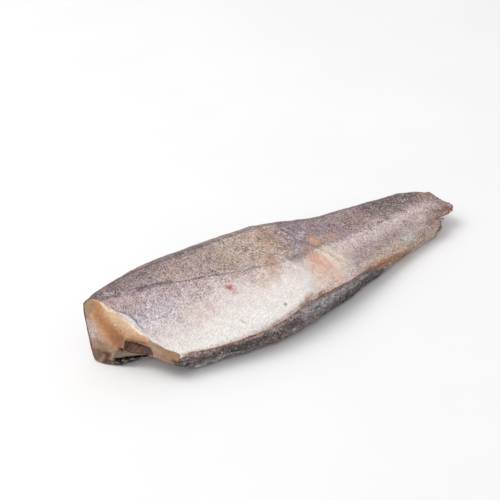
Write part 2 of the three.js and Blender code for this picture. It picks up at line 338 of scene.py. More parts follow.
# %% Piece from corners and faces
def new_piece(name, corners, faces, uv, look, masks):
    """Mesh object at the origin from corners in mm, faces as rows of corner numbers (a triangle
    repeats its last), a UV for each face corner, a material, and the values kept at the corners."""
    corners = (corners + CENTRING) * MM
    tri = faces[:, 2] == faces[:, 3]
    keep = np.ones(faces.shape, bool)
    keep[tri, 3] = False
    mesh = bpy.data.meshes.new(name)
    mesh.vertices.add(len(corners))
    mesh.vertices.foreach_set("co", corners.ravel())
    mesh.loops.add(int(keep.sum()))
    mesh.loops.foreach_set("vertex_index", faces[keep].astype(np.int32))
    mesh.polygons.add(len(faces))
    total = keep.sum(1)
    mesh.polygons.foreach_set("loop_start", (np.cumsum(total) - total).astype(np.int32))
    mesh.update(calc_edges=True)
    mesh.uv_layers.new(name="SurfaceMM").data.foreach_set("uv", (uv[keep] / 100).ravel())
    for key, value in masks.items():
        value = value.reshape(len(corners), -1)
        if value.shape[1] == 3:
            rgba = np.concatenate([value, np.ones((len(value), 1))], 1)
            mesh.attributes.new(key, "FLOAT_COLOR", "POINT").data.foreach_set("color", rgba.ravel())
        else:
            mesh.attributes.new(key, "FLOAT", "POINT").data.foreach_set("value", value.ravel())
    mesh.materials.append(look)
    mesh.polygons.foreach_set("use_smooth", np.ones(len(faces), bool))
    mesh.validate()
    piece = bpy.data.objects.new(name, mesh)
    bpy.context.scene.collection.objects.link(piece)
    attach(piece, "root")
    print(name, "-", len(corners), "corners,", int((total - 2).sum()), "triangles")
    return piece


print("pieces are placed by", CENTRING, "mm")


# %% Faces of a grid
def tube_faces(rings, columns, ends):
    """Quads of a grid closed round, first and last ring joined when ends is "joined", else closed by
    two poles that are the last two corners. Returns faces and the grid place of each face corner."""
    i, j = np.meshgrid(np.arange(rings - (ends != "joined")), np.arange(columns), indexing="ij")
    i, j = i.ravel(), j.ravel()
    place = np.stack([np.stack([i, j], 1), np.stack([i, j + 1], 1),
                      np.stack([i + 1, j + 1], 1), np.stack([i + 1, j], 1)], 1)
    faces = (place[..., 0] % rings) * columns + place[..., 1] % columns
    if ends == "poles":
        k = np.arange(columns)
        first, last = rings * columns, rings * columns + 1
        low = np.stack([k * 0 + first, (k + 1) % columns, k, k], 1)
        top = (rings - 1) * columns
        high = np.stack([k * 0 + last, top + k, top + (k + 1) % columns, top + (k + 1) % columns], 1)
        caps = np.concatenate([low, high])
        at = np.zeros((2 * columns, 4, 2), int)
        at[:columns, :, 1], at[columns:, :, 1] = k[:, None], k[:, None]
        at[columns:, :, 0] = rings - 1
        faces, place = np.concatenate([faces, caps]), np.concatenate([place, at])
    return faces, place


def turn(faces):
    """Faces or their UVs in the other order of turning; a triangle's repeated last corner stays
    last."""
    same = faces[:, 2] == faces[:, 3]
    tri = same if faces.ndim == 2 else same.all(-1)
    turned = faces[:, [0, 3, 2, 1]].copy()
    turned[tri] = faces[tri][:, [0, 2, 1, 1]]
    return turned


print("faces of 3 rings of 4 points between poles:", len(tube_faces(3, 4, "poles")[0]))

# %% [markdown]
# ## Materials
#
# Fish skin is scales and pigment under a thin film of slime, so its colour is broken up on the scale
# of one scale, about 2 mm, and it shines softly. Cut flesh is translucent and wet: light goes in and
# comes out warmer, which subsurface scattering gives. One function adds a node with its settings
# and links, and each material reads its zone colours from an attribute that follows the fish.

# %% Colours
def hex_linear(code):
    """Linear RGB of an sRGB hex colour: the standard curve, a line below 0.04045."""
    c = np.array([int(code[k:k + 2], 16) for k in (1, 3, 5)]) / 255
    return np.where(c <= 0.04045, c / 12.92, ((c + 0.055) / 1.055) ** 2.4)


def ground(p, code):
    """The same colour at all points p."""
    return np.zeros(p.shape) + hex_linear(code)


def paint(tone, mask, code):
    """Blends a colour over the tone by the mask."""
    mask = np.clip(mask, 0, 1)[..., None]
    return tone * (1 - mask) + hex_linear(code) * mask


print("tan flesh as linear colour:", hex_linear("#d1a177").round(3))

# %% A node with its settings and links
STEP = {"interpolation_type": "SMOOTHSTEP"}  # value, from two limits, to two limits
TIMES, PLUS, MINUS, SIZE = ({"operation": word} for word in ("MULTIPLY", "ADD", "SUBTRACT", "ABSOLUTE"))
COVER, TINT, SHIFT = ({"data_type": "RGBA", "blend_type": word} for word in ("MIX", "MULTIPLY", "ADD"))


def add_node(tree, kind, settings, *inputs, out=None, **named):
    """Adds a node of this kind and returns the output named, or else the first in use. Settings are
    its properties. Inputs go to its sockets in use, in their order or by name with _ for a space,
    and each is an output to link, a value, or a hex colour."""
    node = tree.nodes.new("ShaderNode" + kind)
    for key, value in settings.items():
        setattr(node, key, value)
    given = list(zip([socket for socket in node.inputs if socket.enabled], inputs))
    given += [(node.inputs[key.replace("_", " ")], value) for key, value in named.items()]
    for socket, value in given:
        if isinstance(value, bpy.types.NodeSocket):
            tree.links.new(value, socket)
        else:
            socket.default_value = (*hex_linear(value), 1) if isinstance(value, str) else value
    return node.outputs[out] if out else next((used for used in node.outputs if used.enabled), None)


def new_material(name):
    """Material without nodes, and the function above for its tree."""
    look = bpy.data.materials.new(name)
    look.use_nodes = True
    look.node_tree.nodes.clear()
    return look, partial(add_node, look.node_tree)


print("settings of a sum and of a cover of colour:", PLUS, COVER)


# %% Hake skin
# Small overlapping scales, each with pigment in its pocket. Seen from arm's length the pigment reads
# as fine dark specks in slanting rows on a pale, slightly rosy ground.
def hake_skin_material():
    """Tone of the skin times lilac and ochre pockets, with dots, wavering marks, and ice flecks that
    also serve as painted glints, over it.
    """
    look, add = new_material("hake_skin_scaled")
    uv = add("UVMap", {"uv_map": "SurfaceMM"})
    place = add("TexCoord", {}, out="Object")
    tone = add("Attribute", {"attribute_name": "tone"}, out="Color")
    specks, frost, scrawl = (add("Attribute", {"attribute_name": key}, out="Fac")
                             for key in ("specks", "frost", "scrawl"))
    # scale pockets: 1.6 mm along the fish, 2 mm across, in slanting rows
    lattice = add("Mapping", {}, Vector=uv, Rotation=(0, 0, 0.3), Scale=(62, 50, 1))
    wobble = add("TexNoise", {}, Vector=place, Scale=300, Detail=2, out="Color")
    spot = add("Mix", SHIFT, 0.35, lattice, wobble)
    pocket = add("TexVoronoi", {}, Vector=spot, Scale=1, Randomness=0.6)
    grain = add("TexNoise", {}, Vector=place, Scale=620, Detail=3, Roughness=0.8)
    cloud = add("TexNoise", {}, Vector=place, Scale=150, Detail=3, Roughness=0.6)
    # each pocket holds its own mix of pigment: lilac in one, ochre in the next
    own = add("SeparateColor", {}, pocket.node.outputs["Color"])
    hue = add("Mix", COVER, own, "#d8cfe2", "#f6e6d2")
    tint = add("Mix", COVER, add("Math", TIMES, specks, 0.75), "#ffffff", hue)
    colour = add("Mix", TINT, 1.0, tone, tint)
    fine = add("MapRange", STEP, grain, 0.32, 0.68, -0.5, 0.5)
    fine = add("Math", TIMES, fine, add("Math", PLUS, 0.12, specks))
    colour = add("Mix", TINT, 1.0, colour, add("Math", PLUS, 1.0, fine))
    dot = add("MapRange", STEP, pocket, 0.5, 0.2)
    uneven = add("MapRange", STEP, cloud, 0.4, 0.6, 0.3, 1.0)
    dot = add("Math", TIMES, add("Math", TIMES, dot, uneven), specks)
    colour = add("Mix", COVER, dot, colour, "#45353a")
    # wavering marks between the scales of the back, dark and pale, 3 to 5 mm apart
    wave = add("TexNoise", {}, Vector=place, Scale=330, Detail=1, Distortion=1.6)
    patchy = add("Math", TIMES, add("MapRange", STEP, cloud, 0.42, 0.56), scrawl)
    for middle, ink in ((0.5, "#4a3a33"), (0.6, "#f3e4d2")):
        away = add("Math", SIZE, add("Math", MINUS, wave, middle))
        line = add("Math", TIMES, add("MapRange", STEP, away, 0.064, 0.02), patchy)
        colour = add("Mix", COVER, line, colour, ink)
    # flecks of dried slime and frost, which also stand for small glints of the wet scales as painted
    # highlights
    fleck = add("TexVoronoi", {}, Vector=place, Scale=560, Randomness=1)
    ice = add("Math", TIMES, add("MapRange", STEP, fleck, 0.46, 0.26), frost)
    ice = add("Math", TIMES, ice, add("MapRange", STEP, cloud, 0.56, 0.42))
    colour = add("Mix", COVER, ice, colour, "#f3eef6")
    # slime dries in patches, so the shine comes and goes
    wet = add("TexNoise", {}, Vector=place, Scale=90, Detail=4)
    shine = add("MapRange", STEP, wet, 0.35, 0.7, 0.62, 0.44)
    edge = add("MapRange", STEP, pocket, 0.2, 0.6)
    relief = add("Math", PLUS, edge, add("Math", TIMES, grain, 1.2))
    bump = add("Bump", {}, Strength=0.6, Distance=0.0005, Height=relief)
    add("OutputMaterial", {}, add(
        "BsdfPrincipled", {}, Base_Color=colour, Roughness=shine, Normal=bump,
        Specular_IOR_Level=0.4, Coat_Weight=0.06, Coat_Roughness=0.3))
    return look


SKIN_LOOK = hake_skin_material()
print("material:", SKIN_LOOK.name, "with", len(SKIN_LOOK.node_tree.nodes), "nodes")


# %% Cut hake flesh
# Short muscle fibres cut across, wet and a little see-through.
def cut_flesh_material():
    """Tone of the cut times fibres and cloudy patches, with rime and ice crystals over it."""
    look, add = new_material("cut_hake_flesh_wet")
    place = add("TexCoord", {}, out="Object")
    tone = add("Attribute", {"attribute_name": "tone"}, out="Color")
    frost = add("Attribute", {"attribute_name": "frost"}, out="Fac")
    fibre = add("TexNoise", {}, Vector=place, Scale=480, Detail=4, Roughness=0.65)
    grit = add("TexNoise", {}, Vector=place, Scale=800, Detail=2, Roughness=0.7)
    cloud = add("TexNoise", {}, Vector=place, Scale=110, Detail=3)
    crystal = add("TexVoronoi", {}, Vector=place, Scale=700)
    light = add("Math", PLUS, add("MapRange", STEP, fibre, 0.3, 0.7, -0.16, 0.16),
                add("MapRange", STEP, cloud, 0.3, 0.7, 0.9, 1.1))
    colour = add("Mix", TINT, 1.0, tone, light)
    rime = add("Math", TIMES, add("MapRange", STEP, grit, 0.35, 0.65, -0.35, 0.25), frost)
    colour = add("Mix", TINT, 1.0, colour, add("Math", PLUS, 1.0, rime))
    ice = add("Math", TIMES, add("MapRange", STEP, crystal, 0.34, 0.12),
              add("Math", TIMES, frost, 0.8))
    colour = add("Mix", COVER, ice, colour, "#efe4ea")
    # clefts are dull: where the flesh is nearly black, it hardly shines
    gloss = add("MapRange", STEP, tone, 0.005, 0.06, 0.04, 0.5)
    relief = add("Math", PLUS, fibre, add("Math", TIMES, cloud, 1.5))
    bump = add("Bump", {}, Strength=0.45, Distance=0.0005, Height=relief)
    add("OutputMaterial", {}, add(
        "BsdfPrincipled", {}, Base_Color=colour, Roughness=0.42, Normal=bump,
        Specular_IOR_Level=gloss, Subsurface_Weight=0.12, Subsurface_Radius=(1.0, 0.45, 0.25),
        Subsurface_Scale=0.0025, Coat_Weight=0.1, Coat_Roughness=0.25))
    return look


FLESH_LOOK = cut_flesh_material()
print("material:", FLESH_LOOK.name, "with", len(FLESH_LOOK.node_tree.nodes), "nodes")

# %% [markdown]
# ## Landmarks on the flank
#
# Colours and marks have to sit where they sit on the fish, also when it is seen from behind. So they
# are placed by x and row of the section, not by the picture: the lateral line, the edge of
# the silver belly and the fin line are curves of row over x.

# %% Curves on the skin
LATERAL = [[-152, 1.85], [-143, 2.5], [-135, 2.9], [-120, 3.08], [-107, 3.25], [-92.5, 3.65],
           [-67.4, 3.95], [-42.8, 4.3], [-14.3, 4.75], [12, 4.7], [38, 4.45], [77, 4.55],
           [120, 4.3], [150, 3.9]]
FIN_LINE = [[-24, 7.4], [-4, 7.6], [17, 7.65], [33, 7.55], [47, 7.55], [65, 8.1], [77, 8.4],
            [95, 9.1], [110, 9.2]]
BELLY_EDGE = [[-122, 7.1], [-112, 7.05], [-104, 7.3], [-94, 7.7], [-69, 7.85], [-44, 7.75],
              [-21, 7.42], [-4.5, 7.5], [17, 7.55], [47, 7.45], [65, 7.9], [77, 8.15], [96, 8.7],
              [120, 9.2], [150, 9.4]]
SKIN_THICK = 0.9
RETRACT = [  # row, how far the skin shrank back from the cut
    [-4, 0.1], [-3.2, 0.1], [-2.6, -0.3], [-2, -0.5], [0.6, -0.5], [1.4, -0.2], [2, 0.1], [2.6, 0.1],
    [3, 0.1], [3.4, 0.15], [3.8, 1.2], [4.15, 2.9], [4.5, 3.1], [4.85, 1.9], [5.15, 0.7], [5.5, 0.1],
    [5.9, 0.9], [6.3, 2.6], [6.7, 4.2], [7.1, 4], [7.5, 2.2], [7.9, 0.8], [8.3, 0.2], [8.7, 0.1],
    [9.2, 0.1], [12, 0.1],
]
print("lateral line over", LATERAL[-1][0] - LATERAL[0][0], "mm")


# %% Distances, areas and lines on the surface
def distance_across(u, path, x, per_row):
    """Millimetres from a curve on the skin, positive towards the belly: rows apart times the length
    of a row there."""
    return (u - held(path, 1, x)) * per_row


def near_path(path, a, b):
    """Distance in the plane to a line of points: for each piece, the distance to the nearest point
    of the piece; the least of them."""
    path = np.asarray(path, float)
    least = np.full(np.shape(a), 1e9)
    for (a0, b0), (a1, b1) in zip(path[:-1], path[1:]):
        da, db = a1 - a0, b1 - b0
        t = np.clip(((a - a0) * da + (b - b0) * db) / (da * da + db * db), 0, 1)
        least = np.minimum(least, np.hypot(a - a0 - t * da, b - b0 - t * db))
    return least


def inside(shape, a, b, soft):
    """Share inside a closed outline, 1 within and 0 outside, smooth over this distance. A point is
    within where a level ray from it crosses the outline an odd number of times."""
    shape = np.asarray(shape, float)
    odd = np.zeros(np.shape(a), bool)
    for (a0, b0), (a1, b1) in zip(shape, np.roll(shape, -1, 0)):
        if b0 != b1:
            odd ^= ((b0 > b) != (b1 > b)) & (a < a0 + (b - b0) * (a1 - a0) / (b1 - b0))
    gap = near_path(np.concatenate([shape, shape[:1]]), a, b)
    return smooth(-soft, soft, np.where(odd, gap, -gap))


def paint_areas(tone, a, b, areas, scale=1.0):
    """Paints each area: colour, strength, softness in mm and corners, whose second number is
    multiplied by scale to be millimetres too."""
    for code, strength, soft, corners in areas:
        tone = paint(tone, strength * inside(np.asarray(corners) * [1, scale], a, b, soft), code)
    return tone


def paint_lines(tone, a, b, lines, scale=1.0, vary=1.0):
    """Paints each line: colour, strength, reach in mm and path, scaled in the same way; vary is a
    strength at each point."""
    for code, strength, reach, path in lines:
        away = near_path(np.asarray(path) * [1, scale], a, b)
        tone = paint(tone, strength * vary * bell(away, reach), code)
    return tone


print("middle of a square:", float(inside([(0, 0), (4, 0), (4, 4), (0, 4)], 2.0, 2.0, 1.0)))

# %% Columns round the body, closest where they are seen
def spread(low, high, count, weight):
    """Values from low to high whose density follows a weight: the inverse of its running sum."""
    fine = np.linspace(low, high, 4001)
    total = np.concatenate([[0], np.cumsum(weight((fine[1:] + fine[:-1]) / 2))])
    return np.interp(np.arange(count) * total[-1] / count, total, fine)


def seen(u):
    """Weight of the columns: full over the back, flank and belly, a fifth under the fish."""
    return (0.2 + 0.8 * band(-1.6, -0.6, 10.6, 11.4, u)
            + 0.9 * bell(u - 8.6, 1.0) - 0.3 * bell(u - 3.5, 2))


ROWS = spread(-4, 12, 268, seen)  # once round: rows -4 to 12 are 16 rows
print("columns round the body:", len(ROWS))

# %% [markdown]
# ## The flesh
#
# The block of flesh has the shape of the whole fish, drawn in by the thickness of the skin. At the
# head it shows its cut face, which swells where muscle is thick, and in it the mouth of the belly
# hollow. One closed grid does it all: tail pole, tail cut, flank, cut face, hollow, pole.

# %% Cut face and hollow
MOUTH = np.array([  # row, y and z of the rim of the hollow, which has sharp corners
    [-0.7, -1.4, 13.4], [1.2, -2.0, 16.6], [2.2, -2.5, 18.6], [3.4, -6.2, 19.1], [4.4, -10.5, 19.5],
    [5.2, -14.5, 19.3], [5.9, -18.3, 18.9], [7.2, -19.4, 17.2], [9, -20.1, 15.4], [10.8, -20.3, 13.7],
    [12, -15.8, 12.2], [13, -9.5, 10.9], [13.8, -4.6, 10.0], [14.6, -1.7, 10.9],
])
CAVITY = [[0, 1, -10.7, 15], [6, 1.1, -11.5, 15.3], [16, 1.2, -13, 16], [34, 1.25, -14.5, 17],
          [52, 1.05, -15, 17.5], [66, 0.7, -15, 17.5], [76, 0.3, -15, 17.5]]  # way in, size, y, z
LIP = dict(low=9.5, high=16.0, top_at=6, back_at=17)  # fold of the belly wall just inside the mouth
FACE_BULGE, BULGE_SPAN = 2.2, 26  # how far the cut swells, and how wide the flesh is there


def mouth(u):
    """y and z of the rim of the hollow at row u: straight pieces between the corners."""
    return (np.interp(u, MOUTH[:, 0], MOUTH[:, 1], period=16),
            np.interp(u, MOUTH[:, 0], MOUTH[:, 2], period=16))


def face(r, u, edge):
    """Point of the cut: y and z go straight from the edge to the rim of the hollow, x is the plane
    of the cut, less a parabola over r where the flesh is wide."""
    y1, z1 = mouth(u)
    y, z = mix(edge[..., 1], y1, r), mix(edge[..., 2], z1, r)
    span = np.clip(np.hypot(y1 - edge[..., 1], z1 - edge[..., 2]) / BULGE_SPAN, 0, 1)
    x = head_plane(y, z) + held(HEAD_EDGE, 1, u) * (1 - r) - FACE_BULGE * 4 * r * (1 - r) * span
    return np.stack([x, y, z], -1)


def cavity(way, u):
    """Point of the wall of the hollow: the rim, moved in, scaled about the middle of the hollow."""
    y, z = mouth(u)
    k, cy, cz = (held(CAVITY, c, way) for c in (1, 2, 3))
    _, _, y0, z0 = CAVITY[0]
    return np.stack([head_plane(y, z) + way, cy + (y - y0) * k, cz + (z - z0) * k], -1)


print("mouth of the hollow:", round(float(np.ptp(MOUTH[:, 1])), 1), "mm wide")

# %% [markdown]
# ## The cut's colours
#
# A real cut shows tan muscle between the whitish belly wall, a brown strip of dark muscle, the ring
# of bone and the crevice below it, dark with painted shade. An image could carry that, but areas
# drawn by their corners in the plane of the cut stay sharp at any size, and each can be moved alone.

# %% Marks on the cut, as y and z in the plane of the cut
# the crevice between the flaps, painted near-black along it as painted shade in its groove
CREVICE = [(1.1, 4.2), (-0.1, 4.6), (-2.3, 5.3), (-4.8, 6.8), (-6.7, 7.4), (-12, 9.6), (-17, 11.2)]
BONE_RING = [(9.2, 6.4), (8.2, 6.8), (6.9, 6.2), (5.7, 4.9), (5.4, 3.6), (5.6, 2.8)]
VESSEL = (0.2, 10.6)  # the small red blood vessel
DARK_MUSCLE = [(13.5, 41), (10.8, 34.5), (8, 30), (5.9, 28), (3, 24.5), (2.4, 20.5), (2.1, 17.8)]
PALE_LINE = [  # the whitish seam under the skin of the flank
    (12.2, 43.2), (7.5, 39.8), (4.1, 39.3), (1.8, 39), (-1.5, 36.1), (-4.9, 33.9), (-9.5, 30.4),
    (-13.9, 28), (-19, 26.2),
]
# the dark skin of the far flap under the crevice, painted darker still as painted shade under the
# overhanging flap
BELOW_CREVICE = [  # the dark under the crevice, but for its last corner, down by the table
    (1.5, 4.2), (0, 4.7), (-2.3, 5.4), (-6.8, 7.5), (-12, 9.7), (-21, 12), (-21, 5), (0, -3),
]
DARK_CORNER, STREAK_CORNER = (1.3, -2), (1.5, -2)  # that corner, of the dark and of its streaks
CUT_AREAS = [  # colour, strength, softness, corners: from what lies under to what lies over
    ("#e8c29c", 0.9, 2.5, [(14, 45), (9, 37), (3, 33), (-5.5, 27.6), (-9, 26), (-12, 28), (-8, 34),
        (2, 42)]),
    ("#ad7f5a", 0.6, 2.5, [(-9, 25.5), (-14, 24.5), (-19, 23.5), (-18, 19), (-2, 18.5), (-4, 22)]),
    ("#b67b49", 0.85, 3, [(17, 44), (13, 44), (9, 36), (5, 30), (0, 25), (-3, 21), (-3, 18), (0, 12),
        (5, 12), (8, 18), (10.5, 26), (14, 35)]),
    ("#a66a38", 0.75, 2.2, [(7, 29), (4, 27), (0, 22), (-2.5, 18.5), (-1.5, 13.5), (4, 14), (7, 20),
        (8, 25)]),
    ("#8f5c3a", 0.7, 2, [(4, 20), (-1, 20.5), (-2.4, 18), (-1.5, 12.5), (2.5, 12.5), (4, 16)]),
    ("#a58664", 0.9, 1.5, [(24, 47), (17.5, 46), (15, 42), (16.5, 37), (18.5, 32), (26, 31)]),
    ("#9f8079", 0.8, 1.5, [(24, 34), (17, 33.5), (15.5, 30), (16.5, 27.5), (24, 27)]),
    ("#baa7a0", 0.9, 2, [(24, 29.5), (15, 29), (12.5, 25), (11.5, 20), (11, 16), (13, 13.5), (24, 15)]),
    ("#bd967f", 0.7, 2, [(13.5, 21), (9.5, 21), (7, 18), (7.5, 14), (13, 14)]),
    ("#997a60", 0.9, 1.8, [(22, 15.5), (11, 14.5), (5, 12.5), (2, 11), (3, 8.5), (10, 7.5), (22, 7)]),
    ("#6e5236", 0.95, 1.2, [(20, 7.5), (11, 8.7), (8.7, 8.4), (8.4, 4), (8.5, -1), (20, -1)]),
    ("#92775a", 0.95, 1, [(9.4, 8.6), (3, 9.6), (1.2, 8.4), (1, 4.6), (2.5, 2), (9, 0)]),
    ("#794b2b", 0.9, 0.9, [(9.6, 7.4), (7.4, 8), (5.2, 6.8), (4.2, 4.8), (4.4, 2.4), (7.6, 2),
        (8.2, 5)]),
    ("#4b2119", 0.9, 0.6, [(6.5, 2.4), (3.4, 3.2), (1.4, 2.8), (2, -1), (7, -1)]),
    ("#6f5c4c", 0.95, 0.5, [(2.6, 9.9), (1, 10.8), (-1.6, 12), (-4, 12.5), (-10, 13), (-17, 14),
        (-21.6, 14.8), (-20.5, 10), (-12, 8.6), (-7, 6.9), (-3, 5.2), (0.6, 4.3), (2.2, 4.4)]),
    # painted shade under the crevice, over the dark skin of the far flap
    ("#2b1813", 0.97, 0.5, BELOW_CREVICE + [DARK_CORNER]),
    ("#84572f", 0.8, 0.9, [(-4, 21.3), (-8, 22.2), (-13, 21.6), (-18.4, 22), (-18.6, 19.2), (-13, 19),
        (-2.6, 18.4)]),
    ("#9f7c62", 0.95, 0.6, [(-18.6, 25.4), (-20.5, 25), (-25, 22), (-31, 18.5), (-40, 14), (-40, 8),
        (-33, 10), (-26.5, 12), (-20.5, 13), (-19.9, 15.4), (-18.4, 19.2)]),
    ("#b5957c", 0.6, 1.2, [(-20, 24), (-27, 19.5), (-27, 17), (-22, 18), (-19.6, 20.5)]),
    ("#6b4335", 0.7, 1, [(-32.8, 17.5), (-40, 17.5), (-40, 12), (-33.4, 12)]),
    ("#574426", 0.95, 0.6, [(-34, 13.6), (-40, 14), (-40, 8), (-33.6, 9)]),
    ("#dbd0c9", 0.95, 0.35, [(2.4, 39.3), (-1.5, 36.5), (-4.9, 34.3), (-9.5, 30.8), (-13.9, 28.4),
        (-19.6, 26.4), (-19, 31), (-8, 39), (2.4, 44)]),
]
CUT_LINES = [  # colour, strength, reach, path
    # painted shade: near-black in the crevice and in the narrow gap under it
    ("#0e0a09", 0.95, 0.75, CREVICE),
    ("#17100f", 0.85, 0.45, [(-0.5, 3), (-1.8, 3.5), (-4.7, 4.8), (-8.6, 6.6)]),
    ("#8d8583", 0.5, 0.4, [(-6, 5.6), (-9.5, 7.4), (-13, 8.8)]),
    ("#542911", 1, 0.7, BONE_RING),
    ("#8f4f26", 0.8, 0.5, [(8, 5.9), (7, 5), (6.4, 4), (6.3, 3.2)]),
    ("#3d1d10", 0.8, 0.5, [(7.6, 5.9), (6.6, 4.9)]),
    # painted shade in a narrow gap under the crevice
    ("#191110", 0.9, 0.4, [(1, 3.3), (-1, 3.6), (-3, 4.3)]),
    ("#b99a74", 0.35, 0.8, [(5.6, 8.6), (3.4, 7.4), (2.6, 5.6)]),
    ("#9a4a38", 0.8, 1.2, [(1.2, 11.6), (0.5, 11), (-0.6, 10.4)]),
    ("#250404", 1, 0.7, [(0.9, 11), (0.3, 10.6), (-0.5, 10.2)]),
    # painted shade: a dark brown line along the left and upper rim of the hollow
    ("#45291d", 0.8, 0.45, [(-1.6, 12), (-2.1, 16.6), (-2.6, 18.9), (-6.2, 19.4), (-10.5, 19.9)]),
    ("#fbeade", 0.9, 0.7, PALE_LINE),
    # painted highlight: a small glint on the wet flesh
    ("#fff6e6", 0.95, 0.5, [(2.6, 30), (1.8, 30.6)]),
    ("#7a5636", 0.9, 0.45, [(-1.6, 26.6), (-1.3, 26.8)]),
]
FROST_AREA = [(26, 34), (17, 34), (12.5, 25), (9, 19), (9, 13), (13, 12), (26, 14)]
FLESH_ROWS = spread(-4, 12, 300, lambda u: 1 + 0.6 * bell(u - 8.6, 1.2) + 0.4 * bell(u + 2.2, 1.2))
print("areas on the cut:", len(CUT_AREAS), " lines:", len(CUT_LINES))


# %% Relief and colours of the cut
def cut_relief(y, z, r):
    """How far the cut stands back from its plane: a soft roughness, a furrow along the dark muscle,
    a deep narrow groove at the crevice, a rim at the ring of bone with a groove beside it, and the
    hole of the vessel."""
    p = np.stack([0 * y, y, z], -1)
    inner = band(0, 0.15, 0.93, 1, r)
    back = inner * (0.55 * rough(p, 9, 11) + 0.2 * rough(p, 2.6, 15))
    back = back + 1.1 * inner * bell(near_path(DARK_MUSCLE, y, z), 4.5)
    back = back + 3.0 * bell(near_path(CREVICE, y, z), 0.75)
    back = back - 0.9 * bell(near_path(BONE_RING, y, z), 0.7)
    back = back + 0.8 * bell(near_path(BONE_RING, y + 1.4, z), 0.8)
    return back + 1.3 * bell(np.hypot(y - VESSEL[0], z - VESSEL[1]), 0.9)


def cut_tone(y, z, edge_gap, u):
    """Colours of the cut: tan, with the areas and lines laid over it and their borders shaken by
    noise, dark and grey streaks in the painted shade below the crevice, and the thin dark edge of the
    skin of the back."""
    p = np.stack([0 * y, y, z], -1)
    y1 = y + 0.7 * rough(p, 5, 81) + 0.2 * rough(p, 1.6, 83)
    z1 = z + 0.7 * rough(p, 5, 85) + 0.2 * rough(p, 1.6, 87)
    tone = paint_areas(ground(p, "#d1a177"), y1, z1, CUT_AREAS)
    tone = paint_lines(tone, y + 0.15 * rough(p, 2.5, 89), z + 0.15 * rough(p, 2.5, 91), CUT_LINES)
    # painted shade below the crevice, broken by near-black and grey streaks
    below = inside(BELOW_CREVICE + [STREAK_CORNER], y, z, 0.5)
    streak = rough(np.stack([0 * y, (y + 2 * z) * 0.3, z - 0.45 * y], -1), 1.3, 79)
    tone = paint(tone, 0.9 * below * smooth(-0.2, 0.4, streak), "#0e0a09")
    tone = paint(tone, 0.6 * below * smooth(0.15, 0.5, -streak), "#85746e")
    rim = smooth(1, 0.3, edge_gap) * (1 - band(1.5, 2.4, 12.2, 12.8, u))
    return paint(tone, 0.6 * rim, "#6b5950")


def film_tone(side, u):
    """Colours of the strip of flesh that shows between skin and cut: brown at the back and under the
    fish, tan on the flank, with a whitish stretch in its middle and a darker one by the belly."""
    tone = paint(ground(side, "#6b5438"), band(1.6, 2.4, 7.2, 7.6, u), "#d9b795")
    tone = paint(tone, band(3.2, 3.7, 5.5, 5.9, u), "#dbd1cc")
    tone = paint(tone, band(5.6, 6.0, 8.4, 8.9, u), "#a9805c")
    return tone * (1 + 0.12 * rough(side, 1.6, 29))[..., None]


def lining_tone(hole, way):
    """Colours of the hollow: dark red-brown in long streaks, greyer to the belly, plain inside."""
    grain = hole * [0.4, 1, 1]
    tone = paint(ground(hole, "#6d4030"), 0.7 * smooth(0, 0.5, rough(grain, 1.2, 35)), "#4f352d")
    tone = paint(tone, 0.5 * smooth(0.1, 0.5, -rough(grain, 0.9, 37)), "#a07060")
    tone = paint(tone, 0.6 * smooth(-9, -17, hole[..., 1]), "#6d4f48")
    return paint(tone, smooth(8, 30, way), "#6b4238")


groove = cut_relief(*np.array([[-4.8], [6.8], [0.5]]))
print("depth of the crevice in one place:", round(float(groove[0]), 2), "mm")


# %% Rings of the flesh
NEAR_HEAD, NEAR_TAIL = 16, 14    # mm of the flank next to the cuts that get close rings
SHOULDER = (3.2, 4.0, 5.2, 6.0)  # rows between which the edge of the cut is rounded
HOLLOW_LONG = 70                 # mm from the mouth of the hollow to its end


def flesh_flank(u):
    """Rings from the tail to the head, drawn in: by most of the skin's thickness at the cuts, by 1.6
    mm more between them, where the skin hides the flesh, and by 0.7 mm round the shoulder."""
    head, tail = NEAR_HEAD / SPAN, NEAR_TAIL / SPAN
    share = np.concatenate([1 - np.linspace(0, 1, 10)[:-1] * tail, np.linspace(1 - tail, head, 14)[:-1],
                            np.linspace(1, 0, 22)[:-1] ** 1.3 * head, [0]])[:, None]
    side = flank(share + 0 * u, u + 0 * share)
    from_cut, from_tail = side[..., 0] - side[-1:, :, 0], side[:1, :, 0] - side[..., 0]
    inset = mix(0.55, SKIN_THICK * 0.85, smooth(0.2, 3, from_cut)) + 1.6 * smooth(7, 16, from_cut)
    inset = inset - 1.6 * smooth(12, 4, from_tail)
    inset = inset + 0.7 * band(*SHOULDER, u) * smooth(3.2, 0, from_cut) ** 2
    # the grid runs from the tail to the head, so its normals point inwards
    return side + outward(side) * inset[..., None]


def flesh_cut(edge, u):
    """Rings of the cut from its edge to the mouth, with their relief, and their distance from the
    edge."""
    r = np.linspace(0, 1, 96)[1:, None] ** 1.15 + 0 * u
    cut = face(r, u, edge)
    y, z = cut[..., 1], cut[..., 2]
    gap = np.hypot(y - edge[..., 1], z - edge[..., 2])
    cut[..., 0] += cut_relief(y, z, r) + 0.9 * band(*SHOULDER, u) * smooth(3, 0, gap) ** 2
    return cut, gap


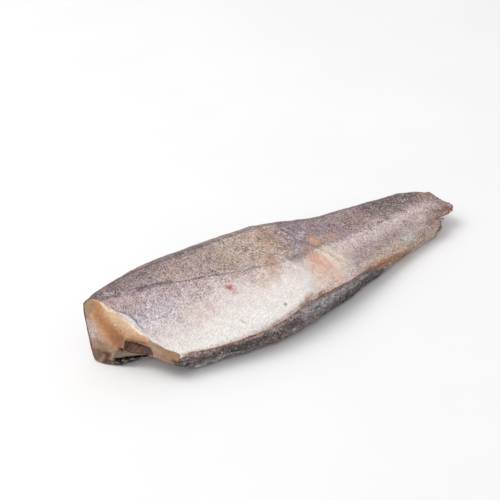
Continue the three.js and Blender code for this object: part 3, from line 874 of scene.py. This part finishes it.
def flesh_hollow(u):
    """Rings of the hollow from its mouth inwards, with the fold that lifts its floor and a rough
    wall, and their way in."""
    way = np.linspace(0, 1, 48)[1:, None] ** 1.8 * HOLLOW_LONG + 0 * u
    hole = cavity(way, u)
    fold = mix(LIP["low"], LIP["high"], smooth(0, LIP["top_at"], way))
    fold = fold * smooth(LIP["back_at"], LIP["top_at"] + 2, way) + 0.4 * rough(hole, 3.2, 33)
    roof = hole[..., 2].max(1, keepdims=True) - 1.5
    hole[..., 2] = np.maximum(hole[..., 2], np.minimum(fold, roof))
    lumps = (0.4 * rough(hole, 4, 31) + 0.12 * rough(hole, 1.1, 39)) * smooth(0, 4, way)
    return hole + lumps[..., None] * [0, 1, 1], way


def flesh_tail(ring):
    """Rings of the tail cut from its middle, 4 mm behind, to the edge, rough in the middle."""
    t = np.linspace(0, 1, 22)[1:-1, None, None]
    tail = mix(ring.mean(0) + [-4, 0, 0], ring[None], t ** 0.8)
    tail[..., 0] += (1 - t[..., 0]) * 1.5 * rough(tail * [0.3, 1, 1], 2.4, 21)
    return tail


print("rings have", len(FLESH_ROWS), "points")


# %% Build the flesh
def build_flesh():
    """Joins the rings of tail cut, flank, cut and hollow to one grid between two poles, and gives
    its corners their colours and frost."""
    u = FLESH_ROWS[None, :]
    side = flesh_flank(u)
    tail, (cut, gap), (hole, way) = flesh_tail(side[0]), flesh_cut(side[-1:], u), flesh_hollow(u)
    y, z = cut[..., 1], cut[..., 2]
    grid = np.concatenate([tail, side, cut, hole])
    tail_tone = paint(ground(tail, "#b3937a"), smooth(-0.2, 0.6, rough(tail, 3, 23)), "#86695c")
    tone = np.concatenate([tail_tone, film_tone(side, u), cut_tone(y, z, gap, u + 0 * y),
                           lining_tone(hole, way)])
    frost = np.concatenate([0.08 + 0 * tail[..., 0], 0.2 + 0 * side[..., 0],
                            0.08 + 0.75 * inside(FROST_AREA, y, z, 2), 0.08 + 0 * way])
    faces, place = tube_faces(len(grid), len(FLESH_ROWS), "poles")
    i, j = place[..., 0], place[..., 1]
    length = np.concatenate([[0], np.cumsum(np.linalg.norm(np.diff(grid, axis=0), axis=-1).mean(1))])
    uv = np.stack([length[i], girth(grid)[i, j]], -1)
    corners = np.concatenate([grid.reshape(-1, 3), [grid[0].mean(0), grid[-1].mean(0)]])
    tone = np.concatenate([tone.reshape(-1, 3), tone[:1].mean(1), tone[-1:].mean(1)])
    # the grid runs from tail to head, so each face is turned to point outwards
    return new_piece("hake_flesh", corners, turn(faces), turn(uv), FLESH_LOOK,
                     {"tone": tone, "frost": np.concatenate([frost.ravel(), [0, 0]])})


flesh = build_flesh()
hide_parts("headless_hake")

# %% [markdown]
# ## The skin
#
# The coat of skin is 0.9 mm thick, a closed shell with an outer and an inner side, and stops short of
# the head cut where it shrank back. The trimmed fins are low torn ridges on it. Solidify could
# thicken a sheet, but the rim is what the eye catches here, so the grid turns round it in a small
# half circle.
#
# The colours of a hake run from a dark back over a lilac-grey flank to a white belly, with rosy and
# brown places where the skin is thin or bruised. They are areas and lines by x and row, as on the
# cut, and noise shakes their borders, because pigment ends in single scales and not at a line.

# %% Areas on the skin
ROW_MM = 6    # a row of the flank is about this wide
DORSAL = 1.2  # row of the middle of the back
WHITE = 11    # number of the white belly among the areas
RIDGE = [  # top of the back: x, row
    [-152, 0.55], [-145, 0.75], [-130, 1], [-115, 1.2], [-103, 1.45], [-90, 1.8], [-78, 1.95],
    [-60, 2.1], [-30, 2.2], [0, 2.3], [20, 2.35], [45, 2.1], [75, 2], [95, 2.1], [120, 2.25], [140, 2.2],
]
SKIN_AREAS = [  # colour, strength, softness, corners as x and row: from under to over
    # the back, from the nape to the tail
    ("#a69393", 0.95, 5, [(-165, -2), (-100, -2), (-98, 3.5), (-108, 3.3), (-130, 2.9), (-150, 2.2),
        (-165, 1.5)]),
    ("#837173", 0.85, 4, [(-165, -2), (-96, -2), (-98, 1.6), (-110, 1.95), (-124, 2.3), (-138, 2.3),
        (-150, 2.1), (-165, 1.6)]),
    ("#554a4d", 0.75, 3, [(-160, 0.6), (-147, 0.9), (-142, 1.7), (-143, 2.3), (-150, 2.4), (-160, 2.2)]),
    ("#bba69c", 0.95, 6, [(-104, -2), (-30, -2), (-30, 4.5), (-60, 4.1), (-90, 3.7), (-104, 3.4)]),
    ("#9a8482", 0.8, 3, [(-112, 0), (-62, 0), (-58, 2.3), (-85, 2.6), (-112, 2.4)]),
    ("#ccb6a6", 0.9, 7, [(-50, -2), (2, -2), (0, 4.6), (-20, 4.7), (-50, 4.2)]),
    ("#a38f91", 0.9, 6, [(5, -2), (22, -2), (21, 3.8), (11, 4.6), (-8, 4.75), (0, 3.6)]),
    ("#ac989a", 0.95, 5, [(18, -2), (160, -2), (150, 3.5), (120, 4), (80, 4.35), (40, 4.4), (20, 4.2)]),
    ("#695657", 0.85, 4, [(80, -2), (146, -2), (138, 3.3), (120, 3.8), (100, 3.7), (80, 3.5)]),
    # the flank and the white belly
    ("#d0c9d6", 0.8, 5, [(-132, 3.7), (-112, 3.6), (-100, 4.2), (-108, 5.2), (-126, 5.5), (-134, 4.9)]),
    ("#c9b4b3", 0.8, 3, [(-146, 2.9), (-120, 3.1), (-105, 3.5), (-86, 3.95), (-88, 4.4), (-110, 4.2),
        (-134, 4.2), (-146, 3.8)]),
    ("#f2e7e2", 0.95, 8, [(-136, 5.4), (-122, 5.1), (-106, 5.2), (-90, 4.95), (-70, 4.75), (-50, 4.75),
        (-30, 4.85), (-12, 5.1), (-2, 5.4), (-5, 6.3), (-10, 7.3), (-30, 7.7), (-60, 7.9), (-90, 7.9),
        (-103, 7.6), (-132, 7.6)]),
    ("#fbf6f0", 0.9, 5, [(-132, 6.4), (-95, 6.3), (-60, 6), (-20, 6.1), (-12, 6.8), (-30, 7.6),
        (-90, 7.8), (-132, 7.5)]),
    ("#e3c6b8", 0.6, 3, [(-97, 5.1), (-80, 5), (-78, 5.5), (-96, 5.6)]),
    ("#dcb9a0", 0.5, 2.5, [(-45, 4.8), (-30, 4.7), (-27, 5.3), (-43, 5.4)]),
    # behind the belly: peach and rose, where the skin is thin over the flesh
    ("#f3dccb", 0.9, 4, [(-4, 5), (8, 4.6), (30, 4.7), (30, 6.2), (20, 7.4), (-8, 7.5), (-12, 7),
        (-2, 6.2)]),
    ("#efc3ab", 0.65, 5, [(-2, 4.9), (8, 4.6), (14, 4.9), (17, 6.2), (12, 7.2), (2, 7), (-3, 6)]),
    ("#e6bbaa", 0.6, 4, [(4, 6), (13, 5.9), (20, 6.8), (13, 7.2), (6, 7)]),
    ("#f7e4d7", 0.4, 2.5, [(-2, 6), (12, 5.9), (16, 6.6), (8, 7.2), (-6, 7.2)]),
    ("#e6d9cb", 0.8, 4, [(20, 4.7), (42, 4.6), (44, 6.2), (26, 6.6)]),
    # the tail half: a light stripe, a duller one, then olive
    ("#d1bdb9", 0.9, 5, [(36, 4.6), (150, 4.2), (150, 9.5), (100, 9.4), (60, 8), (32, 7.2), (34, 5.6)]),
    ("#e3d3d0", 0.9, 2.5, [(28, 4.6), (80, 4.5), (135, 4.2), (148, 4.25), (142, 4.8), (100, 5.15),
        (60, 5.3), (30, 5.4)]),
    ("#b59e9d", 0.7, 2.5, [(34, 5.6), (60, 5.6), (100, 5.5), (118, 5.4), (110, 6.2), (70, 6.4),
        (36, 6.4)]),
    ("#d4bda6", 0.85, 4, [(34, 6.9), (48, 6.7), (70, 6.5), (88, 6.7), (92, 8.4), (70, 8), (50, 7.5),
        (34, 7.5)]),
    ("#bfa591", 0.8, 4, [(100, 7.2), (126, 6.4), (134, 7), (134, 10), (92, 10), (90, 8.3)]),
    ("#d3cecb", 0.85, 2.5, [(88, 6), (101, 5.9), (104, 6.6), (100, 7.6), (92, 7.5), (90, 6.8)]),
    ("#9c8074", 0.75, 3.5, [(126, 5), (142, 4.7), (156, 4.9), (156, 6.5), (130, 7.4), (120, 7)]),
    ("#a37c6a", 0.85, 2.5, [(133, 1.9), (152, 2), (152, 3.9), (142, 3.7), (136, 3)]),
    ("#94665a", 0.8, 2, [(141, 4.1), (156, 4), (156, 4.6), (144, 4.8)]),
    ("#80564a", 0.85, 2.2, [(138, 5), (146, 4.85), (157, 4.9), (157, 5.9), (146, 6), (140, 5.7)]),
    ("#b49483", 0.6, 2, [(120, 6.6), (140, 6.2), (140, 7), (122, 7.4)]),
]
PATCHES = [  # marks of this flank alone
    ("#a28d94", 0.85, 5, [(6, 1.9), (22, 1.9), (21, 3.8), (11, 4.6), (-6, 4.75), (1, 3.6)]),
    ("#d8a486", 0.7, 1.5, [(13.5, 4), (16, 3.85), (20, 3.8), (24, 3.9), (26, 4.15), (22, 4.4),
        (17, 4.42), (14.2, 4.3)]),
    ("#9c8fae", 0.6, 2, [(36, 3.7), (47, 3.7), (47, 4.1), (36, 4.2)]),
    ("#b48b6c", 0.6, 2, [(58, 3.3), (80, 3.3), (78, 3.7), (58, 3.7)]),
    ("#8e5f66", 0.6, 2, [(70, 2.6), (79, 2.6), (78, 3.2), (71, 3.2)]),
    ("#c99a6a", 0.7, 2.2, [(-34, 4.15), (-23, 4.1), (-20, 4.5), (-23, 4.9), (-31, 4.8)]),
    ("#9a6f60", 0.6, 1.5, [(-21, 3.15), (-4, 3.1), (-6, 3.4), (-20, 3.5)]),
    ("#c9a584", 0.4, 2.5, [(-26, 2.6), (-14, 2.5), (-12, 3.9), (-24, 4.1)]),
]
# the underside below the belly edge, turned away from the light: its dark grey and near-black areas are
# painted shade over the skin's own grey
EDGE_AREAS = [  # below the belly edge
    ("#a88c81", 0.95, 1.8, [(-122, 7.2), (-110, 7.35), (-100, 7.7), (-90, 7.9), (-70, 8), (-50, 7.8),
        (-20, 7.7), (-4, 7.8), (-4, 8.3), (-40, 8.6), (-70, 8.7), (-100, 8.5), (-122, 8.1)]),
    ("#c2ab9f", 0.7, 2, [(-124, 7.2), (-110, 7.2), (-106, 7.8), (-114, 8.2), (-124, 8.2)]),
    ("#97603f", 0.85, 2, [(-93, 8), (-84, 7.95), (-82, 8.4), (-88, 8.7), (-93, 8.5)]),
    ("#a57c66", 0.6, 2, [(-82, 8), (-72, 8.05), (-73, 8.5), (-82, 8.5)]),
    ("#75382b", 0.85, 1.4, [(-68.5, 7.9), (-63, 7.9), (-62, 8.25), (-66, 8.4), (-69, 8.2)]),
    ("#4d3b36", 0.2, 1.2, [(-114, 8.4), (-100, 8.6), (-90, 9.2), (-100, 9.1), (-113, 8.8)]),
    ("#3a302e", 0.8, 2.5, [(-90, 8.9), (-60, 8.8), (-28, 8.7), (-24, 9.5), (-60, 9.7), (-88, 9.85)]),
    ("#1f1716", 0.6, 3, [(-96, 8.9), (-72, 8.9), (-70, 9.8), (-94, 9.9)]),
    ("#5e4e49", 0.4, 3, [(-60, 9), (-46, 9), (-46, 9.7), (-60, 9.7)]),
    ("#a5a4aa", 0.8, 2, [(-30, 8.2), (0, 8), (40, 7.9), (44, 8.6), (10, 9.2), (-26, 9)]),
    ("#b0a6a0", 0.75, 1.5, [(-106, 9.6), (-86, 9.7), (-84, 10.4), (-104, 10.4)]),
    ("#a7b0a6", 0.6, 1.2, [(-37, 9.5), (-31, 9.5), (-30, 10.1), (-36, 10.1)]),
    ("#7f6a5c", 0.7, 2, [(-58, 9.7), (-20, 9.6), (-18, 10.6), (-56, 10.6)]),
    ("#40332f", 0.9, 2, [(36, 9), (48, 8.2), (58, 8.8), (66, 9.5), (62, 10.8), (-10, 10.8), (-8, 9.7)]),
    ("#a9754a", 0.9, 1.8, [(46, 7.5), (60, 7.8), (75, 8.2), (88, 8.7), (97, 9.1), (97, 11), (90, 11),
        (76, 10), (66, 9.3), (58, 8.7), (50, 8)]),
]
SKIN_LINES = [  # colour, strength, reach in mm, path as x and row
    ("#69565a", 0.8, 1, [(-149, 2.65), (-140, 2.75), (-130, 2.9), (-120, 3.1), (-105, 3.35),
        (-95, 3.55)]),
    ("#9c6232", 1, 1.1, [(-9, 7.6), (0, 7.75), (17, 7.75), (30, 7.65), (45, 7.45), (52, 7.7)]),
    ("#aa7038", 0.85, 1.3, [(55, 7.6), (65, 7.85), (77, 8.25), (88, 8.6)]),
    ("#9c6534", 0.8, 2.4, [(52, 7.9), (62, 8.4), (75, 9), (88, 9.6), (96, 10.2)]),
    ("#daa688", 0.95, 1.9, [(15.5, 4.12), (21.5, 4.1)]),
    ("#e8c0a6", 0.7, 0.7, [(14.6, 3.98), (20, 3.95)]),
    ("#6a5248", 0.75, 0.6, [(11, 4.2), (14, 4.5), (19, 4.55), (24, 4.4)]),
    ("#665560", 0.6, 1.2, [(-12, 4.75), (-2, 4.85), (6, 4.7)]),
    ("#d2907c", 0.5, 1.2, [(2.5, 5.15), (5, 5.45), (8.5, 5.6)]),
    ("#dfa392", 0.45, 2.4, [(4.5, 4.8), (7, 5.3), (9.5, 5.9)]),
    ("#e5ab93", 0.4, 2, [(9, 4.6), (13, 5.2), (16, 6)]),
    ("#fbeee0", 0.6, 1.2, [(14, 4.75), (18, 5.3), (21, 6)]),
    ("#cfae98", 0.6, 0.9, [(18, 4.7), (22, 5.2), (25, 5.9)]),
    ("#f6e6d8", 0.6, 1.2, [(22, 4.6), (27, 5.2), (30, 5.9)]),
    ("#544650", 0.7, 0.7, [(-6, 2.9), (-2, 3.7)]),
    ("#544650", 0.7, 0.7, [(1, 2.9), (5, 3.7), (7, 4.1)]),
    ("#4f434c", 0.7, 0.7, [(8, 3), (11, 3.8)]),
    ("#5d4f5c", 0.7, 0.7, [(-5, 4), (0, 4.5)]),
    ("#544650", 0.6, 0.7, [(14, 3), (17, 3.6)]),
    ("#dcd3dd", 0.6, 0.7, [(-1, 3.1), (2, 3.8)]),
    ("#dcd3dd", 0.6, 0.6, [(5, 3.1), (8, 3.7)]),
    ("#9d6f52", 0.7, 1.2, [(-13, 2.7), (-9, 3.5), (-8, 4.2)]),
    ("#e6e0ec", 0.7, 0.9, [(7, 3.8), (12, 3.6), (17, 3.4)]),
    ("#d9d3e2", 0.6, 1, [(-4, 4.5), (2, 4.3)]),
    ("#cf8577", 0.6, 1.3, [(-64, 4.76), (-60.6, 4.8)]),
    ("#a5423a", 0.9, 0.65, [(-63.4, 4.75), (-61, 4.79)]),
    ("#b5605a", 0.7, 0.5, [(-59.8, 4.66), (-59.6, 4.7)]),
    ("#1c1413", 1, 0.5, [(-36.8, 6.66), (-35.6, 6.65)]),
    ("#8e8488", 0.7, 0.45, [(-68.9, 6.42), (-67, 6.6)]),
    ("#a97c60", 0.6, 1.2, [(-20, 7.1), (-14, 7)]),
    ("#7a5a48", 0.7, 1, [(-26, 7.4), (-18, 7.5)]),
    ("#a99ca6", 0.8, 2.2, [(33, 4.2), (43, 4.1)]),
    ("#a196b0", 0.6, 1.4, [(35, 3.95), (42, 3.95)]),
    ("#b86f3c", 0.8, 1.8, [(146, 5.5), (150, 5.6)]),
    ("#96533c", 0.7, 1.4, [(136.5, 5.5), (139.5, 5.4)]),
    ("#a14f4a", 0.6, 1, [(-141, 3.1), (-139, 3.2)]),
    ("#7d686c", 0.6, 1.5, [(-124, 3.05), (-116, 3.15)]),
]
LUMPS = [  # knobs along the lower outline: x, row, reach, height
    (-44.9, 10.2, 3, 1.6), (-38, 10.4, 2, 1.1), (-33.3, 10, 3.2, 1.5), (-24, 10.4, 2.4, 1),
    (-12, 10.2, 3.6, 0.9), (30, 10.2, 4.5, 0.8), (58, 10.2, 4, 0.7), (-70, 10.3, 4, 0.8),
]
STUMPS = [  # x from and to, rows, reach in rows, height
    (86, 144, [[86, 1.45], [144, 1.5]], 0.2, 0.5), (-10, 88, FIN_LINE, 0.16, 0.55),
]
print("areas on the skin:", len(SKIN_AREAS) + len(PATCHES) + len(EDGE_AREAS), " lines:", len(SKIN_LINES))


# %% Relief of the skin
def stump(x, u, start, stop, rows, reach, high):
    """A trimmed fin: a low ridge along a row, torn by waves and fading at both ends."""
    torn = 0.7 + 0.4 * noise(np.stack([x, 0 * x, 0 * x], -1), 3.1, 71)
    return high * torn * bell(u - held(rows, 1, x), reach) * band(start, start + 9, stop - 14, stop, x)


def skin_relief(s):
    """How far the skin stands out: lumps of three sizes, long wrinkles on the tail, the sunk lateral
    line, the raised belly edge, knobs under it and along the lower outline, and the fin stumps."""
    p, x, u, belly = s.p, s.x, s.u, s.belly
    lift = smooth(0.3, 3, s.z)
    under = smooth(0.3, 2.0, belly) * (u > 4)
    out = (0.30 * rough(p, 21, 41) + 0.16 * rough(p, 6, 45) + 0.06 * rough(p, 2.2, 48)) * lift
    out = out + 0.24 * smooth(-8, 24, x) * lift * rough(p * [0.16, 1, 1], 2.3, 51)
    out = out - 0.18 * bell(s.lateral, 0.9) * (x < 150)
    out = out + 0.5 * under * lift * rough(p, 3.2, 55) * smooth(0.3, 2.2, belly)
    out = out + 0.4 * bell(belly - 0.3, 0.8) * lift
    for at, row, reach, high in LUMPS:
        out = out + high * bell(x - at, reach) * bell(u - row, 0.7) * smooth(0, 1.2, s.z)
    for numbers in STUMPS:
        out = out + stump(x, u, *numbers)
    return out


print("knobs along the lower outline:", len(LUMPS), " fin stumps:", len(STUMPS))


# %% Colours of the flank
def flank_tone(s, a, b):
    """Rosy ground with the areas over it, the marks of the near flank, a cloudiness that is weaker
    on the white belly, the top of the back, dark with its own skin and with painted shade where it
    curves away along the outline, and the lateral line."""
    x, u, f, v = s.x, s.u, s.fine, s.mid
    tone = paint_areas(ground(s.p, "#dccac9"), a, b, SKIN_AREAS, ROW_MM)
    tone = paint(tone, 0.4 * s.far, "#b3a09e")
    near = (u > DORSAL)[..., None]
    tone = np.where(near, paint_areas(tone, x + 1.2 * v + 0.6 * f, b, PATCHES, ROW_MM), tone)
    tone = tone * (1 + (0.05 * v + 0.09 * f) * (1 - 0.6 * s.white))[..., None]
    tone = paint(tone, 0.14 * smooth(0.1, 0.8, v) * (1 - s.white) * (x < 40), "#bdb2c6")
    tone = paint(tone, 0.16 * smooth(0.1, 0.8, -v) * (1 - s.white), "#cba98c")
    # the back beyond its outline and a dark line along the outline: partly the back's own dark skin,
    # partly painted shade where the back curves away
    ridge = held(RIDGE, 1, x) - 0.1 * f
    tone = paint(tone, 0.6 * smooth(0.2, -0.3, s.same - ridge), "#7d6d70")
    tone = paint(tone, bell(u - ridge + 0.05, 0.15) * (0.55 + 0.4 * smooth(-100, -125, x)), "#41363a")
    tone = paint(tone, 0.8 * bell(s.lateral + 0.3 * f, 0.65) * smooth(0, -60, x), "#6d5a5d")
    return paint(tone, 0.3 * bell(s.lateral + 0.6 * f, 1.0) * band(-70, -20, -10, 5, x), "#80706c")


print("white belly is area", WHITE, "of", len(SKIN_AREAS))


# %% Colours of the belly edge and the rim
def edge_tone(s, a, b, tone):
    """The belly edge, olive, then cream, then soft and rosy, and the side below it, darkened with
    painted shade where it turns under away from the light, with its own areas and streaks. s.under
    keeps how much of a point is on that side."""
    x, belly, f = s.x, s.belly, s.fine
    soft_edge = band(-70, -25, -8, 4, x)
    tone = paint(tone, 0.7 * bell(belly + 0.2, 0.8) * smooth(-90, -104, x), "#cdbf9c")
    tone = paint(tone, 0.6 * bell(belly + 0.4, 1.0) * band(-104, -90, -30, -5, x), "#dccbb8")
    tone = paint(tone, 0.75 * bell(belly + 1.4 + f, 1.6) * soft_edge, "#c9aa98")
    tone = paint(tone, 0.8 * bell(belly + 0.8, 1.2) * soft_edge * smooth(0.1, 0.5, f), "#7d5f52")
    # painted shade: the underside below the belly edge is turned to a dark grey-mauve
    s.under = smooth(0, 1 + soft_edge, belly + 0.4 * f) * (s.u > 4) * smooth(90, 60, x)
    tone = paint(tone, s.under, "#7a6e70")
    below = paint_areas(tone, a, b, EDGE_AREAS, ROW_MM)
    tone = mix(tone, below, (smooth(-0.6, 0.6, belly + 0.4 * f) * (s.u > 4))[..., None])
    streak = rough(s.p * [0.5, 1, 1] + 0.4 * s.p[..., [1, 2, 0]], 1.5, 93)
    return tone * (1 + 0.6 * s.under * np.clip(1.2 * streak + 0.3 * f, -1, 1))[..., None]


def rim_tone(s, tone):
    """The edge at the head cut: brown at the belly corner, grey at the back, a painted shadow along the
    lifted skin edge of the upper flank, and white where the belly wall is torn, which s.rim keeps."""
    u, f, cut = s.u, s.fine, s.from_cut
    tone = paint(tone, 0.85 * smooth(5, 0, cut + f) * smooth(7.2, 7.8, u), "#5c4c30")
    tone = paint(tone, 0.6 * smooth(3, 0.5, cut + f) * smooth(2.6, 1.6, u), "#65585a")
    # painted shadow: a grey line where the torn skin of the upper flank stands off the flesh
    tone = paint(tone, 0.45 * smooth(2, 0.5, cut + 0.5 * f) * band(3.4, 3.8, 4.9, 5.3, u), "#7f6c6e")
    s.rim = smooth(2.1, 0.6, cut + 0.4 * f) * band(5.1, 5.5, 7.2, 7.6, u)
    return paint(tone, s.rim, "#f1ebe5")


print("areas below the belly edge:", len(EDGE_AREAS))


# %% All colours and marks of the skin
def skin_tone(s):
    """Colours of the skin: flank, belly edge, lines, fin line, painted shade in the crease of the flap,
    and rim, with all borders shaken by noises of three sizes. s keeps what the marks need too."""
    s.fine, s.mid, x, u = rough(s.p, 2.4, 65), rough(s.p, 5, 68), s.x, s.u
    s.far = smooth(1.0, -0.2, u)
    a = x + (2.6 + 12 * s.far) * rough(s.p, 11, 61) + 0.9 * s.fine
    b = (s.same + 0.16 * s.mid + 0.05 * s.fine) * ROW_MM
    s.white = inside(np.array(SKIN_AREAS[WHITE][3]) * [1, ROW_MM], a, b, 5)
    tone = edge_tone(s, a, b, flank_tone(s, a, b))
    vary = 1 - 0.25 * smooth(-0.1, 0.6, rough(s.p, 3, 99))
    tone = paint_lines(tone, x + 0.4 * s.fine, (u + 0.04 * s.fine) * ROW_MM, SKIN_LINES, ROW_MM, vary)
    tone = paint(tone, 0.7 * bell(u - 1.45, 0.2) * band(84, 94, 138, 148, x), "#63555a")
    # painted shade: a dark line in the crease between the flaps
    crease = bell(near_path(CREASE[:4], x, u), 0.14) * smooth(-122, -118, x) * (u > 8)
    return np.clip(rim_tone(s, paint(tone, crease, "#3a2c22")), 0, 1)


def skin_marks(s):
    """How strong the specks, the frost and the scrawled marks are at each point: specks all over,
    fewer on the white belly and where the skin is so thin that flesh shows through, frost and scrawl
    in patches on the back, and frost also as painted glints on the flank by the head."""
    x, u, back = s.x, s.u, smooth(2, -3, s.lateral)
    fine, broad = rough(s.p, 3.5, 95), rough(s.p, 12, 97)
    thin = np.maximum(bell(x - 11, 24) * bell(u - 6, 1.7), bell(x - 19, 6) * bell(u - 4.12, 0.4))
    specks = np.clip(0.65 + (0.3 - 0.22 * bell(x + 40, 40)) * back + 0.15 * fine + 0.1 * broad, 0.05, 1)
    specks = mix(specks * (1 - 0.82 * s.white) * (1 - 0.85 * thin), 0.7, s.under) * (1 - s.rim)
    # the strong patch of frost at x -120, row 4.8 is partly painted highlight: bright lilac glints of
    # the flank
    frost = (0.15 + 0.4 * fine + 0.1 * s.under + 0.25 * smooth(60, 120, x)
             + 1.1 * bell(x + 120, 10) * bell(u - 4.8, 1) + 0.5 * bell(x + 36, 9) * bell(u - 3.2, 0.8)
             + 0.5 * bell(x - 10, 8) * bell(u - 3.5, 0.6))
    frost = np.clip(frost, 0, 1) * (1 - 0.7 * s.white) * (0.3 + 0.7 * smooth(0.5, 2, u))
    scrawl = back * (0.2 + 0.48 * bell(x + 24, 25) * bell(u - 3.3, 1.2)) + 0.2 * smooth(30, 90, x)
    return {"specks": specks, "frost": frost, "scrawl": scrawl * smooth(0.5, 2, u) + 0.2 * s.under}


print("lines on the skin:", len(SKIN_LINES))


# %% Build the skin
RIM_STEPS = np.array([0, 0.06, 0.16, 0.3, 0.5, 0.8])  # mm of the rings that turn round the rim
SUNK = 0.35                                           # mm from the body's surface in to the skin's


def shell(u, back_off):
    """Rings of the outer and then of the inner side of the skin before it has a thickness, their
    shares along the fish, their normals, and which are inner: close rings at both rims, and more of
    them where the outer side is seen."""
    rim, t = RIM_STEPS / SPAN, np.linspace(0, 1, 322)
    body = mix(1.1 / SPAN, 1 - 1.1 / SPAN, mix(t, smooth(0, 1, t), 0.25))
    outer = np.concatenate([rim, body, 1 - rim[::-1]])
    inner = np.concatenate([1 - rim[1:], np.linspace(0.985, 0.015, 10), rim[:0:-1]])
    share = np.concatenate([outer, inner])[:, None]
    p = flank(share + 0 * u, u + 0 * share, back_off)
    n = outward(p)
    n[len(outer):] = outward(flank(inner[::-1, None] + 0 * u, u + 0 * inner[:, None], back_off))[::-1]
    return p, share, n, np.arange(len(share))[:, None] >= len(outer)


def build_skin():
    """Measures each point of the shell, moves it to its side of the skin, half circles at both rims,
    out by the relief, and gives it colours and marks."""
    u = ROWS[None, :]
    lobes = noise(np.stack([ROWS * 6, 0 * ROWS, 0 * ROWS], -1), 2.0, 77)
    nibble = noise(np.stack([ROWS * 40, 0 * ROWS, 0 * ROWS], -1), 4.0, 79)
    back_off = held(RETRACT, 1, ROWS) * (1 + 0.3 * lobes) + 0.15
    back_off = back_off + (0.12 + 0.35 * bell(ROWS - 4.5, 0.9)) * nibble
    p, share, n, inner = shell(u, back_off[None, :])
    s = SimpleNamespace(p=p, x=p[..., 0], z=p[..., 2], u=u + 0 * share, from_cut=share * SPAN)
    s.same = np.where(s.u < DORSAL, 2 * DORSAL - s.u, s.u)  # row of the near flank with the same ground
    per_row = np.abs(np.gradient(girth(p)[:, :-1], axis=1) / np.gradient(ROWS)[None, :])
    s.lateral = distance_across(s.same, LATERAL, s.x, per_row)
    s.belly = distance_across(s.u, BELLY_EDGE, s.x, per_row)
    from_end, half = np.minimum(share, 1 - share) * SPAN, SKIN_THICK / 2
    arch = np.sqrt(np.clip(1 - (1 - np.clip(from_end / half, 0, 1)) ** 2, 0, 1))
    relief = skin_relief(s) * smooth(0, 6, from_end)
    s.p = p - n * np.where(inner, half * (1 + arch), half * (1 - arch) + SUNK - relief)[..., None]
    masks = {"tone": skin_tone(s), **skin_marks(s)}
    faces, place = tube_faces(len(share), len(ROWS), "joined")
    i, j = place[..., 0], place[..., 1]
    uv = np.stack([np.pad(s.x, ((0, 1), (0, 1)), "wrap")[i, j],
                   np.pad(girth(s.p), ((0, 1), (0, 0)), "wrap")[i, j]], -1)
    print("skin relief from", round(float(relief.min()), 2), "to", round(float(relief.max()), 2), "mm")
    return new_piece("hake_skin", s.p.reshape(-1, 3), faces, uv, SKIN_LOOK, masks)


skin = build_skin()
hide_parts("headless_hake")

# %% [markdown]
# ## Floor, light and camera
#
# The fish lies on a plain pale table under soft, even light, as under an overcast window. The camera
# looks down from the belly side, in front of the head cut.

# %% Floor
FLOOR_Z = -0.0002  # metres, just clear of the skin that rests on it


def new_floor():
    """Square plane just under the fish, matt, almost white and faintly cloudy."""
    look, add = new_material("matt_white_table")
    place = add("TexCoord", {}, out="Object")
    cloud = add("TexNoise", {}, Vector=place, Scale=9, Detail=2)
    colour = add("Mix", COVER, add("MapRange", STEP, cloud, 0.3, 0.7), "#f7f6f5", "#f9f8f7")
    add("OutputMaterial", {}, add("BsdfPrincipled", {}, Base_Color=colour, Roughness=0.8))
    mesh = bpy.data.meshes.new("table")
    corners = [(x, y, FLOOR_Z) for x, y in ((-3, -3), (3, -3), (3, 3), (-3, 3))]
    mesh.from_pydata(corners, [], [(0, 1, 2, 3)])
    mesh.materials.append(look)
    floor = bpy.data.objects.new("table", mesh)
    bpy.context.scene.collection.objects.link(floor)
    return floor


floor = new_floor()
print("floor laid")

# %% Light
scene = bpy.context.scene
scene.view_settings.view_transform = "Standard"
world = bpy.data.worlds.new("soft_daylight")
scene.world = world
world.use_nodes = True
sky = world.node_tree.nodes["Background"].inputs
sky["Color"].default_value, sky["Strength"].default_value = (0.97, 0.985, 1.0, 1), 0.72


def soft_light(name, place, aim, size, power):
    """Square area light at a place in metres, turned to the point that it aims at."""
    lamp = bpy.data.lights.new(name, "AREA")
    lamp.shape, lamp.size, lamp.energy = "SQUARE", size, power
    light = bpy.data.objects.new(name, lamp)
    scene.collection.objects.link(light)
    way = Vector(aim) - Vector(place)
    light.matrix_world = Matrix.Translation(place) @ way.to_track_quat("-Z", "Y").to_matrix().to_4x4()
    return light


soft_light("window", (-0.7, 0.5, 1.5), (0, 0, 0), 1.2, 14)

# %% Camera
EYE = Vector((-0.48334, -0.68407, 0.56893))
AZIMUTH, ELEVATION, ROLL = np.radians((-33.005, 32.42, -1.095))
LENS = 103.195  # on the 36 mm sensor


def view_axes(azimuth, elevation, roll):
    """Right, up and back of the camera: right lies level, back points from the object to the eye,
    up is back cross right, and the roll turns right and up about back."""
    right = Vector((np.cos(azimuth), np.sin(azimuth), 0))
    level = np.cos(elevation)
    back = Vector((np.sin(azimuth) * level, -np.cos(azimuth) * level, np.sin(elevation)))
    up = back.cross(right)
    return right * np.cos(roll) + up * np.sin(roll), up * np.cos(roll) - right * np.sin(roll), back


lens = bpy.data.cameras.new("camera")
lens.lens, lens.sensor_width = LENS, 36
lens.clip_start, lens.clip_end = 0.01, 20
camera = bpy.data.objects.new("camera", lens)
scene.collection.objects.link(camera)
axes = Matrix(view_axes(AZIMUTH, ELEVATION, ROLL)).transposed()
camera.matrix_world = Matrix.Translation(EYE) @ axes.to_4x4()
scene.camera = camera
print("camera", round(float(EYE.length), 3), "m from the middle")
